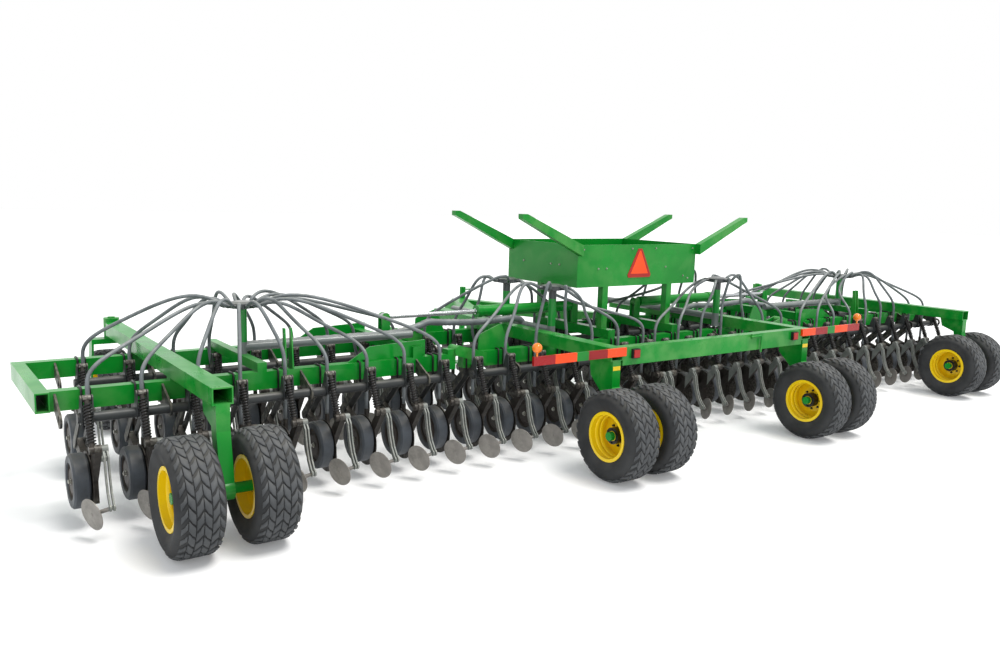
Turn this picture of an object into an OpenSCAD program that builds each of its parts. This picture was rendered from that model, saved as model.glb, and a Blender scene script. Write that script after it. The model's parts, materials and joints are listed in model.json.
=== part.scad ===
// Three-section single-disc air drill, wings unfolded and openers raised.
// Y = 0 lies under the centre wheels' axle while modelling; placed() then centres the whole machine.

/* [Frame] */
// Distance from the centre line to the middle of the wing's end tube
end_tube_x = 6100; // [5950:10:6400]
// Distance from the centre line to the wing's fold hinge
hinge_x = 2500; // [2490:5:2520]
// Height of the fold hinge's axis
hinge_z = 1030; // [1020:5:1045]
// Height of the underside of the cross tubes
cross_z = 855; // [840:5:870]
// Height of a cross tube
cross_h = 150; // [130:5:160]
// Front-to-back width of a cross tube
cross_w = 100; // [80:5:120]
// Position of the rear cross tube, ahead of the centre axle
rear_tube_y = 1450; // [1440:5:1460]
// Distance between the two ranks
rank_pitch = 1250; // [1200:10:1300]
// Width of a lengthwise rail
rail_w = 150; // [120:5:170]
// Height of a lengthwise rail
rail_h = 125; // [110:5:140]
// Thickness of the saddle between rail and cross tube
saddle_t = 20; // [12:2:30]
// Wall of the open-ended tubes
tube_wall = 10; // [6:1:14]

/* [Wheels] */
// Outside diameter of a tyre
tyre_d = 837; // [800:1:845]
// Width of a tyre
tyre_w = 340; // [300:5:350]
// Diameter of the rim where the tyre sits
rim_d = 420; // [400:5:440]
// Distance from the centre line to the centre section's twin wheels
centre_wheel_x = 1446; // [1400:2:1480]
// Distance between the two wheels of a centre pair
centre_twin = 480; // [475:5:500]
// Distance from the centre line to the wing's wheels and rail
wing_wheel_x = 5120; // [5080:5:5160]
// Distance between the two wheels of a wing pair
wing_twin = 535; // [525:5:560]
// Position of the wing's rear axle, ahead of the centre axle
wing_axle_y = 330; // [300:5:345]
// Position of the caster's swivel axis
caster_y = 3850; // [3820:5:3900]
// Lead of the caster wheel ahead of its swivel axis
caster_lead = 150; // [120:5:170]

/* [Openers] */
// Distance between neighbouring openers of one rank
pitch = 381; // [370:1:390]
// Openers on each side of the centre section's rear rank
rear_centre_count = 7; // [7]
// Openers on each side of the centre section's front rank
front_centre_count = 6; // [6]
// Openers on a wing, in each rank
wing_count = 9; // [9]
// Angle that the openers swing down to work
lower_angle = 18; // [15:1:18]
// Length of a rockshaft's crank
crank_len = 150; // [145:1:160]
// Diameter of a rockshaft
rockshaft_d = 76; // [70:1:80]
// Diameter of an opener's blade
blade_d = 457; // [440:1:470]
// Diameter of a gauge wheel
gauge_d = 410; // [395:1:420]
// Width of a gauge wheel
gauge_w = 114; // [100:1:116]
// Diameter of a closing disc
closing_d = 240; // [220:1:260]
// Diameter of a seed hose
hose_d = 32; // [26:1:36]

/* [Hitch and rest] */
// Position of the hitch eye, ahead of the centre axle
eye_y = 5950; // [5850:10:6100]
// Height of the hitch eye's middle
eye_z = 550; // [520:5:580]
// Bore of the hitch eye
eye_bore = 40; // [36:1:50]
// Half width of the wing rest box
rest_half_w = 920; // [880:5:950]
// Height of the wing rest box's floor
rest_z = 1570; // [1550:5:1590]
// Height of the wing rest box's walls
rest_h = 460; // [420:5:480]
// Height of the rest arms' tips
rest_tip_z = 2350; // [2330:5:2360]

/* [Fits] */
// Running clearance of a pin in its bore, on the radius
pin_fit = 0.05; // [0.02:0.01:0.1]
// Gap between a tyre and its rim
bead_gap = 0.3; // [0.2:0.1:0.5]
// Side gap between moving plates
side_gap = 6; // [5:1:10]

/* [Hidden] */
$fn = 48;
tyre_r = tyre_d / 2;
front_tube_y = rear_tube_y + rank_pitch;
cross_top = cross_z + cross_h;
rail_z = cross_top + saddle_t;
rail_top = rail_z + rail_h;
nose_len = 80;
mid_y = (eye_y + nose_len - tyre_r) / 2;
green = [0.05, 0.42, 0.13];
yellow = [0.95, 0.72, 0.05];
black = [0.10, 0.10, 0.11];
grey = [0.38, 0.39, 0.40];
steel = [0.55, 0.54, 0.50];

// Opener layout in the rear rank, as [Y, Z]
swing_pivot = [1750, 500];
hub_at = [1300, 320];
gauge_at = [1280, 345];
spring_top = [1185, 980];
knuckle_at = [1030, 630];
knob_at = [850, 244];
closing_at = [900, 200];

// A point turned down about the swing pivot by the lowering angle
function lowered(p) = let (d = p - swing_pivot, c = cos(lower_angle), s = sin(lower_angle))
    swing_pivot + [d[0] * c - d[1] * s, d[0] * s + d[1] * c];
// The rockshaft lies one crank length from the spring's top, raised and lowered
chord = lowered(spring_top) - spring_top;
chord_mid = spring_top + chord / 2;
chord_normal = [-chord[1], chord[0]] / norm(chord);
shaft_at = chord_mid + chord_normal * sqrt(crank_len * crank_len - chord * chord / 4);

// Sideways places in one opener, from its gauge wheel towards the centre line
blade_t = 5;
blade_x = gauge_w / 2 + 13;
casting_x0 = blade_x + blade_t / 2;
casting_w = 50;
casting_x1 = casting_x0 + casting_w;
spring_x = gauge_w / 2 + 8;
spring_core_r = 20;
crank_gap = spring_core_r + 14;
crank_t = 10;
hanger_t = 10;
pivot_pin_r = 15;

function rear_x(k) = -(k + 0.5) * pitch;
function front_x(k) = -k * pitch;
rear_centre = [for (k = [0 : rear_centre_count - 1]) rear_x(k)];
rear_wing = [for (k = [rear_centre_count : rear_centre_count + wing_count - 1]) rear_x(k)];
front_centre = [for (k = [1 : front_centre_count]) front_x(k)];
front_wing = [for (k = [front_centre_count + 1 : front_centre_count + wing_count]) front_x(k)];

// General shapes
module placed() { translate([0, -mid_y, 0]) children(); }
module both() {
    children();
    mirror([1, 0, 0]) children();
}
module on_side(right) { mirror([right ? 1 : 0, 0, 0]) children(); }
module block(x0, x1, y0, y1, z0, z1) { translate([x0, y0, z0]) cube([x1 - x0, y1 - y0, z1 - z0]); }
// A [Y, Z] outline drawn out along X from x0 to x1
module side_plate(x0, x1) { translate([x0, 0, 0]) rotate([90, 0, 90]) linear_extrude(x1 - x0) children(); }
// An [X, Z] outline drawn out along Y from y0 to y1
module face_plate(y0, y1) { translate([0, y1, 0]) rotate([90, 0, 0]) linear_extrude(y1 - y0) children(); }
module bar_x(at, r, x0, x1) { translate([x0, at[0], at[1]]) rotate([0, 90, 0]) cylinder(r = r, h = x1 - x0); }
module bar_y(x, z, r, y0, y1) { translate([x, y0, z]) rotate([-90, 0, 0]) cylinder(r = r, h = y1 - y0); }
// A round bar between two points
module strut(a, b, r) {
    d = b - a;
    translate(a) rotate([0, acos(d[2] / norm(d)), atan2(d[1], d[0])]) cylinder(r = r, h = norm(d));
}
// A flat link with two round ends joined by their tangents
module link(a, b, ra, rb) {
    d = b - a;
    u = d / norm(d);
    n = [-u[1], u[0]];
    s = (ra - rb) / norm(d);
    c = sqrt(1 - s * s);
    translate(a) circle(ra);
    translate(b) circle(rb);
    polygon([
        a + ra * (u * s + n * c), a + ra * (u * s - n * c),
        b + rb * (u * s - n * c), b + rb * (u * s + n * c),
    ]);
}
// An open-ended rectangular tube along Y
module tube_y(x, w, y0, y1, z0, z1) {
    difference() {
        block(x - w / 2, x + w / 2, y0, y1, z0, z1);
        block(x - w / 2 + tube_wall, x + w / 2 - tube_wall, y0 - 1, y1 + 1, z0 + tube_wall, z1 - tube_wall);
    }
}

// Wheels
hub_r = 75;
disc_t = 14;
// The dished disc lies behind the rim's middle, towards the wheel arm
disc_z = -60;
disc_rise = 20;
disc_flat_r = 130;
axle_r = 40;
rim_wall = 10;
rim_w = tyre_w - 70;
flange_r = rim_d / 2 + 18;
module tyre_profile() {
    r0 = rim_d / 2 + bead_gap;
    half = tyre_w / 2;
    bead = rim_w / 2 - 16;
    shoulder = 55;
    side_r = 60;
    side_at = flange_r + 8 + side_r;
    difference() {
        union() {
            translate([r0, -bead]) square([tyre_r - r0, 2 * bead]);
            translate([side_at, -half]) square([tyre_r - shoulder - side_at, 2 * half]);
            for (s = [-1, 1]) translate([tyre_r - shoulder, s * (half - shoulder)]) circle(shoulder);
            for (s = [-1, 1]) translate([side_at, s * (half - side_r)]) circle(side_r);
        }
        translate([0, -half - 1]) square([r0, 2 * half + 2]);
    }
}
module rim_profile(axle) {
    r = rim_d / 2;
    half = rim_w / 2;
    flat_z = disc_z + disc_rise;
    translate([r - rim_wall, -half]) square([rim_wall, 2 * half]);
    for (s = [-1, 1]) translate([r - rim_wall, s > 0 ? half - 12 : -half]) square([flange_r - r + rim_wall, 12]);
    polygon([
        [r - rim_wall + 1, disc_z], [r - rim_wall + 1, disc_z + disc_t],
        [disc_flat_r, flat_z + disc_t], [hub_r - 5, flat_z + disc_t], [hub_r - 5, flat_z], [disc_flat_r, flat_z],
    ]);
    translate([axle + pin_fit, -60]) square([hub_r - axle - pin_fit, 120]);
}
module wheel_tyre(x, y) { translate([x, y, tyre_r]) rotate([0, 90, 0]) rotate_extrude($fn = 96) tyre_profile(); }
module wheel_rim(x, y, face, axle) {
    translate([x, y, tyre_r]) rotate([0, 90 * face, 0]) rotate_extrude($fn = 96) rim_profile(axle);
}
module twin_tyres(x, y, gap) {
    color(black) placed() for (s = [-1, 1]) wheel_tyre(x + s * gap / 2, y);
}
module twin_rims(x, y, gap) {
    color(yellow) placed() for (s = [-1, 1]) wheel_rim(x + s * gap / 2, y, s, axle_r);
}

// Openers
seed_inlet = [1320, 600];
inlet_x = casting_x0 + casting_w / 2;
inlet_r = hose_d / 2 + 4;
arm_bar_t = 12;
module casting_outline() {
    link(swing_pivot, hub_at, 42, 62);
    link(hub_at + [-60, 30], knuckle_at, 46, 36);
    polygon([hub_at + [-20, 40], hub_at + [-90, -150], hub_at + [-130, -140], hub_at + [-110, 60]]);
}
// The S-shaped bar from the knuckle to the closing disc's knob
arm_bends = [knuckle_at, [985, 575], [952, 430], [915, 335], knob_at];
module closing_arm() {
    for (i = [0 : len(arm_bends) - 2]) link(arm_bends[i], arm_bends[i + 1], 17, 17);
    translate(knob_at) circle(27);
}
// One opener without its gauge wheel, in the left half of the machine
spring_eye_r = 25;
closing_x = 20;
closing_t = 6;
closing_tilt = [0, 80, 22];
module opener(x) {
    translate([x, 0, 0]) {
        difference() {
            side_plate(casting_x0, casting_x1) casting_outline();
            bar_x(swing_pivot, pivot_pin_r + pin_fit, casting_x0 - 1, casting_x1 + 1);
        }
        translate([inlet_x, seed_inlet[0], hub_at[1]]) cylinder(r = inlet_r, h = seed_inlet[1] - hub_at[1]);
        bar_x(hub_at, blade_d / 2, blade_x - blade_t / 2, casting_x0);
        bar_x(hub_at, 48, blade_x - blade_t / 2 - 8, casting_x0 + 6);
        bar_x(knuckle_at, 30, spring_x - 26, casting_x1 + 44);
        strut([spring_x, knuckle_at[0], knuckle_at[1]], [spring_x, spring_top[0], spring_top[1]], spring_core_r);
        bar_x(spring_top, spring_eye_r, spring_x - crank_gap + side_gap, spring_x + crank_gap - side_gap);
        for (i = [0, 1]) {
            x0 = casting_x1 + 3 + i * (arm_bar_t + 14);
            side_plate(x0, x0 + arm_bar_t) closing_arm();
        }
        closing_point = [closing_x, closing_at[0], closing_at[1]];
        strut([casting_x1 + 44, knob_at[0], knob_at[1]], closing_point, 15);
        translate(closing_point) rotate(closing_tilt) cylinder(d = closing_d, h = closing_t, center = true);
    }
}
module gauge_profile() {
    half = gauge_w / 2;
    r = gauge_d / 2;
    polygon([
        [28, -half + 10], [90, -half + 10], [110, -half + 22], [r - 70, -half + 22], [r - 62, -half],
        [r - 14, -half], [r, -half + 14], [r, half - 14], [r - 14, half],
        [r - 62, half], [r - 70, half - 22], [90, half - 22], [70, half], [28, half],
    ]);
}
module gauge_wheel(x) {
    translate([x, gauge_at[0], gauge_at[1]]) rotate([0, 90, 0]) rotate_extrude($fn = 64) gauge_profile();
    bar_x(gauge_at, 30, x - gauge_w / 2 + 12, x + blade_x - blade_t / 2 - 8 - bead_gap);
}
// One opener's bracket under the cross tube, with the pin that the opener swings on
module hanger(x) {
    x0 = x + casting_x0 - side_gap - hanger_t;
    x1 = x + casting_x1 + side_gap + hanger_t;
    for (xp = [x0, x1 - hanger_t]) side_plate(xp, xp + hanger_t) {
        translate(swing_pivot) circle(38);
        polygon([
            [rear_tube_y - cross_w / 2, cross_z], [rear_tube_y + cross_w / 2, cross_z],
            [rear_tube_y + cross_w / 2, cross_z - 60], swing_pivot + [32, 20], swing_pivot + [-32, -20],
            [rear_tube_y - cross_w / 2, cross_z - 60],
        ]);
    }
    block(x0, x1, rear_tube_y - cross_w / 2, rear_tube_y + cross_w / 2, cross_z - 12, cross_z);
    bar_x(swing_pivot, pivot_pin_r, x0, x1);
}
// A plate on the cross tube's rear face that carries the rockshaft
bearing_r = rockshaft_d / 2 + 22;
bearing_t = 16;
centre_bearing = 160;
wing_bearing = -110;
module shaft_bearing(x) {
    face_y = rear_tube_y - cross_w / 2;
    side_plate(x - bearing_t / 2, x + bearing_t / 2) difference() {
        union() {
            translate(shaft_at) circle(bearing_r);
            polygon([
                [face_y, cross_top - 15], [face_y, cross_z + 5],
                shaft_at + [0, -bearing_r], shaft_at + [0, bearing_r],
            ]);
        }
        translate(shaft_at) circle(rockshaft_d / 2 + pin_fit);
    }
}
module rank_hangers(xs, bearing, at) {
    for (x = xs) hanger(x);
    for (i = at) shaft_bearing(xs[i] + bearing);
}
module crank(x) {
    for (s = [-1, 1]) {
        xc = x + spring_x + s * (crank_gap + crank_t / 2);
        side_plate(xc - crank_t / 2, xc + crank_t / 2) link(shaft_at, spring_top, rockshaft_d / 2 + 12, 24);
    }
}
shaft_over = crank_gap + crank_t + 20;
module rockshaft(xs, x0, x1) {
    bar_x(shaft_at, rockshaft_d / 2, x0, x1);
    for (x = xs) crank(x);
}
module front_rank() { translate([0, rank_pitch, 0]) children(); }
function outer_end(xs) = min(xs) + spring_x - shaft_over;
function inner_end(xs) = max(xs) + spring_x + shaft_over;

module centre_rear_shaft() {
    color(grey) placed() {
        both() for (x = rear_centre) crank(x);
        bar_x(shaft_at, rockshaft_d / 2, outer_end(rear_centre), -outer_end(rear_centre));
    }
}
module centre_front_shaft() {
    color(grey) placed() front_rank() {
        both() for (x = front_centre) crank(x);
        bar_x(shaft_at, rockshaft_d / 2, outer_end(front_centre), -outer_end(front_centre));
    }
}
module wing_rear_shaft(right) {
    color(grey) placed() on_side(right) rockshaft(rear_wing, outer_end(rear_wing), inner_end(rear_wing));
}
module wing_front_shaft(right) {
    color(grey) placed() on_side(right) front_rank()
        rockshaft(front_wing, outer_end(front_wing), inner_end(front_wing));
}
module centre_rear_openers() { color(steel) placed() both() for (x = rear_centre) opener(x); }
module centre_front_openers() { color(steel) placed() both() front_rank() for (x = front_centre) opener(x); }
module wing_rear_openers(right) { color(steel) placed() on_side(right) for (x = rear_wing) opener(x); }
module wing_front_openers(right) {
    color(steel) placed() on_side(right) front_rank() for (x = front_wing) opener(x);
}
module centre_rear_gauges() { color(grey) placed() both() for (x = rear_centre) gauge_wheel(x); }
module centre_front_gauges() { color(grey) placed() both() front_rank() for (x = front_centre) gauge_wheel(x); }
module wing_rear_gauges(right) { color(grey) placed() on_side(right) for (x = rear_wing) gauge_wheel(x); }
module wing_front_gauges(right) {
    color(grey) placed() on_side(right) front_rank() for (x = front_wing) gauge_wheel(x);
}
module centre_hangers() {
    color(green) placed() both() {
        rank_hangers(rear_centre, centre_bearing, [0, 3, 5]);
        front_rank() rank_hangers(front_centre, centre_bearing, [0, 2, 5]);
    }
}
module wing_hangers(right) {
    color(green) placed() on_side(right) {
        rank_hangers(rear_wing, wing_bearing, [0, 3, 6, 8]);
        front_rank() rank_hangers(front_wing, wing_bearing, [0, 3, 6, 8]);
    }
}

// Frames
tube_ys = [rear_tube_y, front_tube_y];
hinge_pin_r = 25;
knuckle_r = 50;
fork_t = 16;
fork_in = cross_w / 2 + side_gap;
fork_len = 320;
centre_end = hinge_x - 60;
wing_start = hinge_x + 30;
stringer_w = 100;
stringer_h = 100;
centre_stringer_x = 500;
wing_stringer_x = 2950;
cylinder_y = (rear_tube_y + front_tube_y) / 2;
cylinder_z = 1300;
lug_gap = 30;
lug_t = 15;
lug_r = 45;
stringer_top = cross_top + stringer_h;
// A pair of plates on a stringer that take a fold cylinder's eye
module cylinder_lugs(x) {
    for (s = [-1, 1]) {
        y = cylinder_y + s * (lug_gap + lug_t / 2);
        face_plate(y - lug_t / 2, y + lug_t / 2) {
            translate([x, cylinder_z]) circle(lug_r);
            translate([x - lug_r, stringer_top]) square([2 * lug_r, cylinder_z - stringer_top]);
        }
    }
}
module hinge_fork(y) {
    for (s = [-1, 1]) {
        yc = y + s * (fork_in + fork_t / 2);
        face_y = y + s * cross_w / 2;
        face_plate(yc - fork_t / 2, yc + fork_t / 2) {
            translate([-hinge_x, hinge_z]) circle(knuckle_r);
            polygon([
                [-hinge_x, hinge_z + knuckle_r], [-hinge_x + fork_len, cross_top - 10],
                [-hinge_x + fork_len, cross_z + 20],
                [-hinge_x - 10, hinge_z - knuckle_r + 1],
            ]);
        }
        block(-hinge_x + 90, -hinge_x + fork_len, min(face_y, yc), max(face_y, yc), cross_z + 30, cross_top - 20);
    }
    bar_y(-hinge_x, hinge_z, hinge_pin_r, y - fork_in - fork_t, y + fork_in + fork_t);
}
gusset_t = 14;
module centre_frame() {
    color(green) placed() {
        for (y = tube_ys) block(-centre_end, centre_end, y - cross_w / 2, y + cross_w / 2, cross_z, cross_top);
        both() {
            for (y = tube_ys) {
                hinge_fork(y);
                face_plate(y - gusset_t / 2, y + gusset_t / 2)
                    polygon([[-2240, cross_top], [-2230, 1165], [-2000, 1250], [-1960, 1250], [-1860, cross_top]]);
            }
            block(-centre_stringer_x - stringer_w / 2, -centre_stringer_x + stringer_w / 2,
                rear_tube_y - cross_w / 2, front_tube_y + cross_w / 2, cross_top, stringer_top);
            cylinder_lugs(-centre_stringer_x);
            bar_y(-centre_stringer_x, cylinder_z, 20, cylinder_y - lug_gap - lug_t, cylinder_y + lug_gap + lug_t);
        }
    }
}
centre_rail_y0 = 300;
centre_rail_y1 = 3470;
module saddles(x) {
    for (y = tube_ys) block(x - rail_w / 2, x + rail_w / 2, y - cross_w / 2, y + cross_w / 2, cross_top, rail_z);
}
module centre_rails() {
    color(green) placed() both() {
        tube_y(-centre_wheel_x, rail_w, centre_rail_y0, centre_rail_y1, rail_z, rail_top);
        saddles(-centre_wheel_x);
    }
}
crossbar_w = 100;
crossbar_h = 175;
module rear_crossbar() {
    x = centre_wheel_x - rail_w / 2;
    y = centre_rail_y0;
    color(green) placed() block(-x, x, y, y + crossbar_w, rail_top - crossbar_h, rail_top);
}
wing_rail_y0 = wing_axle_y + 15;
wing_rail_y1 = caster_y - 100;
end_tube_y0 = rear_tube_y - 70;
tower_beam_w = 80;
wing_tower_x = 4450;
wing_tower_y = 1880;
// A pair of upright plates on the rear tube
finger_x = 4205;
finger_gap = 60;
finger_t = 12;
finger_h = 350;
module finger_outline() {
    y0 = rear_tube_y - cross_w / 2;
    top = cross_top + finger_h;
    polygon([
        [y0, cross_top], [y0 + cross_w, cross_top], [y0 + cross_w * 0.7, top - 130], [y0 + cross_w * 0.8, top],
        [y0 + cross_w * 0.35, top], [y0 + cross_w * 0.2, top - 150],
    ]);
}
module wing_frame(right) {
    outer = end_tube_x - cross_w / 2;
    color(green) placed() on_side(right) {
        for (y = tube_ys) {
            difference() {
                union() {
                    block(-outer, -wing_start, y - cross_w / 2, y + cross_w / 2, cross_z, cross_top);
                    bar_y(-hinge_x, hinge_z, knuckle_r, y - cross_w / 2, y + cross_w / 2);
                    block(-wing_start - 90, -hinge_x, y - cross_w / 2, y + cross_w / 2,
                        hinge_z - knuckle_r, hinge_z + 20);
                }
                bar_y(-hinge_x, hinge_z, hinge_pin_r + pin_fit, y - cross_w / 2 - 1, y + cross_w / 2 + 1);
            }
            face_plate(y - gusset_t / 2, y + gusset_t / 2)
                polygon([[-3650, cross_top], [-3430, 1135], [-2850, 1160], [-2850, cross_top]]);
        }
        tube_y(-end_tube_x, cross_w, end_tube_y0, front_tube_y + cross_w / 2, cross_z, cross_top);
        block(-wing_stringer_x - stringer_w / 2, -wing_stringer_x + stringer_w / 2,
            rear_tube_y - cross_w / 2, front_tube_y + cross_w / 2, cross_top, stringer_top);
        cylinder_lugs(-wing_stringer_x);
        for (x = [-finger_x - finger_gap / 2, -finger_x + finger_gap / 2])
            side_plate(x - finger_t / 2, x + finger_t / 2) finger_outline();
        block(-wing_tower_x - tower_beam_w / 2, -wing_tower_x + tower_beam_w / 2,
            rear_tube_y - cross_w / 2, front_tube_y + cross_w / 2, cross_top, cross_top + tower_beam_w);
    }
}
swivel_r = 35;
housing_r = 75;
crown_h = 50;
tyre_clear = 40;
housing_z0 = max(rail_z - 40, tyre_d + tyre_clear + crown_h + bead_gap);
housing_z1 = rail_top + 40;
module wing_rail(right) {
    color(green) placed() on_side(right) {
        tube_y(-wing_wheel_x, rail_w, wing_rail_y0, wing_rail_y1, rail_z, rail_top);
        saddles(-wing_wheel_x);
        difference() {
            union() {
                translate([-wing_wheel_x, caster_y, housing_z0])
                    cylinder(r = housing_r, h = housing_z1 - housing_z0);
                block(-wing_wheel_x - 60, -wing_wheel_x + 60, wing_rail_y1 - 90, caster_y, rail_z, rail_top);
            }
            translate([-wing_wheel_x, caster_y, housing_z0 - 1])
                cylinder(r = swivel_r + pin_fit, h = housing_z1 - housing_z0 + 2);
        }
    }
}
fork_axle_r = 30;
leg_t = 20;
leg_x = tyre_w / 2 + 15;
module caster_fork(right) {
    crown_top = housing_z0 - bead_gap;
    axle_y = caster_y + caster_lead;
    color(green) placed() on_side(right) translate([-wing_wheel_x, 0, 0]) {
        translate([0, caster_y, crown_top - crown_h])
            cylinder(r = swivel_r, h = housing_z1 + 10 - crown_top + crown_h);
        block(-leg_x - leg_t, leg_x + leg_t, caster_y - 70, caster_y + 70, crown_top - crown_h, crown_top);
        for (s = [-1, 1]) {
            x = s * (leg_x + leg_t / 2);
            side_plate(x - leg_t / 2, x + leg_t / 2) {
                link([caster_y, crown_top - 70], [axle_y, tyre_r], 70, 50);
                translate([caster_y - 70, crown_top - 70]) square([140, 70]);
            }
        }
        bar_x([axle_y, tyre_r], fork_axle_r, -leg_x - leg_t, leg_x + leg_t);
    }
}
module caster_tyre(right) {
    color(black) placed() on_side(right) wheel_tyre(-wing_wheel_x, caster_y + caster_lead);
}
module caster_rim(right) {
    color(yellow) placed() on_side(right) {
        y = caster_y + caster_lead;
        wheel_rim(-wing_wheel_x, y, -1, fork_axle_r);
    }
}

// Wheel arms with their axles
arm_w = 100;
axle_reach = 45;
module wheel_arm(x, y, twin, outline) {
    color(green) placed() {
        side_plate(x - arm_w / 2, x + arm_w / 2) {
            polygon(outline);
            translate([y, tyre_r]) circle(75);
        }
        half = twin / 2 + 60 + axle_reach;
        bar_x([y, tyre_r], axle_r, x - half, x + half);
    }
}
module centre_wheel_arms() {
    y0 = centre_rail_y0;
    for (s = [-1, 1]) wheel_arm(s * centre_wheel_x, 0, centre_twin,
        [[y0, rail_z], [y0 + 330, rail_z], [y0 + 300, rail_z - 180],
            [60, tyre_r - 60], [-60, tyre_r + 60], [y0, rail_z - 250]]);
}
module wing_wheel_arm(right) {
    y = wing_axle_y;
    on_side(right) wheel_arm(-wing_wheel_x, y, wing_twin,
        [[y + 15, rail_z], [y + 330, rail_z], [y + 300, rail_z - 110], [y + 130, rail_z - 170],
            [y + 60, tyre_r], [y - 60, tyre_r], [y + 15, rail_z - 190]]);
}

// Drawbar and parking jack
leg_w = 120;
leg_base_x = 1150;
apex_y = eye_y - 650;
tongue_w = 140;
eye_h = 80;
module drawbar() {
    y0 = front_tube_y + cross_w / 2;
    color(green) placed() {
        translate([0, 0, cross_z]) linear_extrude(cross_h) {
            for (s = [-1, 1]) polygon([
                [s * (leg_base_x - leg_w), y0], [s * leg_base_x, y0], [s * tongue_w / 2, apex_y], [0, apex_y],
                [0, apex_y - 250],
            ]);
        }
        difference() {
            union() {
                side_plate(-tongue_w / 2, tongue_w / 2) polygon([
                    [apex_y - 300, cross_z], [apex_y - 300, cross_top], [apex_y + 40, cross_top],
                    [eye_y - 60, eye_z + eye_h / 2],
                    [eye_y, eye_z + eye_h / 2], [eye_y, eye_z - eye_h / 2], [eye_y - 120, eye_z - eye_h / 2],
                ]);
                translate([0, eye_y, eye_z - eye_h / 2]) cylinder(r = nose_len, h = eye_h);
            }
            translate([0, eye_y, eye_z - eye_h / 2 - 1]) cylinder(d = eye_bore, h = eye_h + 2);
        }
    }
}
jack_x = 150;
jack_y = apex_y + 100;
jack_r = 45;
module parking_jack() {
    color(grey) placed() {
        translate([jack_x, jack_y, 0]) {
            cylinder(d = 260, h = 20);
            cylinder(r = jack_r - 10, h = 500);
            translate([0, 0, 320]) cylinder(r = jack_r, h = cross_top + 160 - 320);
            translate([0, 0, cross_top + 120]) rotate([0, 90, 0]) cylinder(r = 10, h = 220);
        }
        block(tongue_w / 2, jack_x, jack_y - 60, jack_y + 60, cross_z - 80, cross_z + 40);
    }
}

// Wing rest
rest_wall = 12;
rest_arm_w = 80;
rest_tip_x = 1730;
post_w = 80;
rest_y0 = rear_tube_y + rest_arm_w;
rest_y1 = front_tube_y + rest_arm_w;
module wing_rest() {
    y0 = rest_y0;
    y1 = rest_y1;
    top = rest_z + rest_h;
    inner_w = rest_half_w - rest_wall;
    post_x = -centre_stringer_x - post_w / 2;
    color(green) placed() {
        difference() {
            block(-rest_half_w, rest_half_w, y0, y1, rest_z, top);
            block(-inner_w, inner_w, y0 + rest_wall, y1 - rest_wall, rest_z + rest_wall, top + 1);
        }
        both() for (y = tube_ys) {
            yp = y == rear_tube_y ? y0 : y1 - 2 * post_w;
            block(post_x, post_x + post_w, yp, yp + post_w, stringer_top, rest_z + 1);
            face_plate(y, y + rest_arm_w) polygon([
                [-inner_w, top - 120], [-inner_w, top], [-rest_tip_x + 60, rest_tip_z],
                [-rest_tip_x, rest_tip_z], [-rest_tip_x, rest_tip_z - 50],
            ]);
        }
    }
}

// Fold cylinders
barrel_r = 60;
rod_r = 30;
eye_half = lug_gap - side_gap;
barrel_x0 = centre_stringer_x + 60;
barrel_x1 = 1850;
rod_tail_x = 1500;
module fold_barrels() {
    color(black) placed() both() difference() {
        union() {
            bar_x([cylinder_y, cylinder_z], barrel_r, -barrel_x1, -barrel_x0);
            bar_x([cylinder_y, cylinder_z], barrel_r + 8, -barrel_x1, -barrel_x1 + 60);
            bar_y(-centre_stringer_x, cylinder_z, lug_r - 3, cylinder_y - eye_half, cylinder_y + eye_half);
            block(-barrel_x0 - 10, -centre_stringer_x, cylinder_y - eye_half, cylinder_y + eye_half,
                cylinder_z - 35, cylinder_z + 35);
        }
        bar_y(-centre_stringer_x, cylinder_z, 20 + bead_gap, cylinder_y - eye_half - 1, cylinder_y + eye_half + 1);
        translate([-barrel_x1 - 1, cylinder_y, cylinder_z]) rotate([0, 90, 0])
            cylinder(r = rod_r + bead_gap, h = barrel_x1 - barrel_x0 - 20);
    }
}
module fold_rod(right) {
    color(steel) placed() on_side(right) difference() {
        union() {
            translate([-wing_stringer_x, cylinder_y, cylinder_z]) rotate([0, 90, 0])
                cylinder(r = rod_r - 6, h = wing_stringer_x - barrel_x1 - 10);
            translate([-barrel_x1 - 12, cylinder_y, cylinder_z]) rotate([0, 90, 0])
                cylinder(r = rod_r, h = barrel_x1 + 12 - rod_tail_x);
            bar_y(-wing_stringer_x, cylinder_z, lug_r - 3, cylinder_y - eye_half, cylinder_y + eye_half);
        }
        bar_y(-wing_stringer_x, cylinder_z, 20, cylinder_y - eye_half - 1, cylinder_y + eye_half + 1);
    }
}

// Lights and sign
bar_x0 = 1350;
bar_x1 = 2450;
light_h = 80;
light_t = 25;
module light_bars() {
    color([0.8, 0.1, 0.05]) placed() both()
        block(-bar_x1, -bar_x0, centre_rail_y0 - light_t, centre_rail_y0, rail_top - light_h, rail_top);
}
lamp_r = 45;
module marker_lamps() {
    color([0.95, 0.45, 0.05]) placed() both() {
        translate([-bar_x1 + 40, centre_rail_y0 - light_t / 2, rail_top]) cylinder(r = 10, h = 40);
        translate([-bar_x1 + 40, centre_rail_y0 - light_t / 2, rail_top + 40 + lamp_r * 0.8]) sphere(lamp_r);
    }
}
sign_w = 360;
sign_t = 6;
module slow_sign() {
    color([0.95, 0.25, 0.05]) placed() face_plate(rest_y0 - sign_t, rest_y0) translate([0, rest_z + 90])
        polygon([[-sign_w / 2, 0], [sign_w / 2, 0], [0, sign_w * 0.9]]);
}

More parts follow.
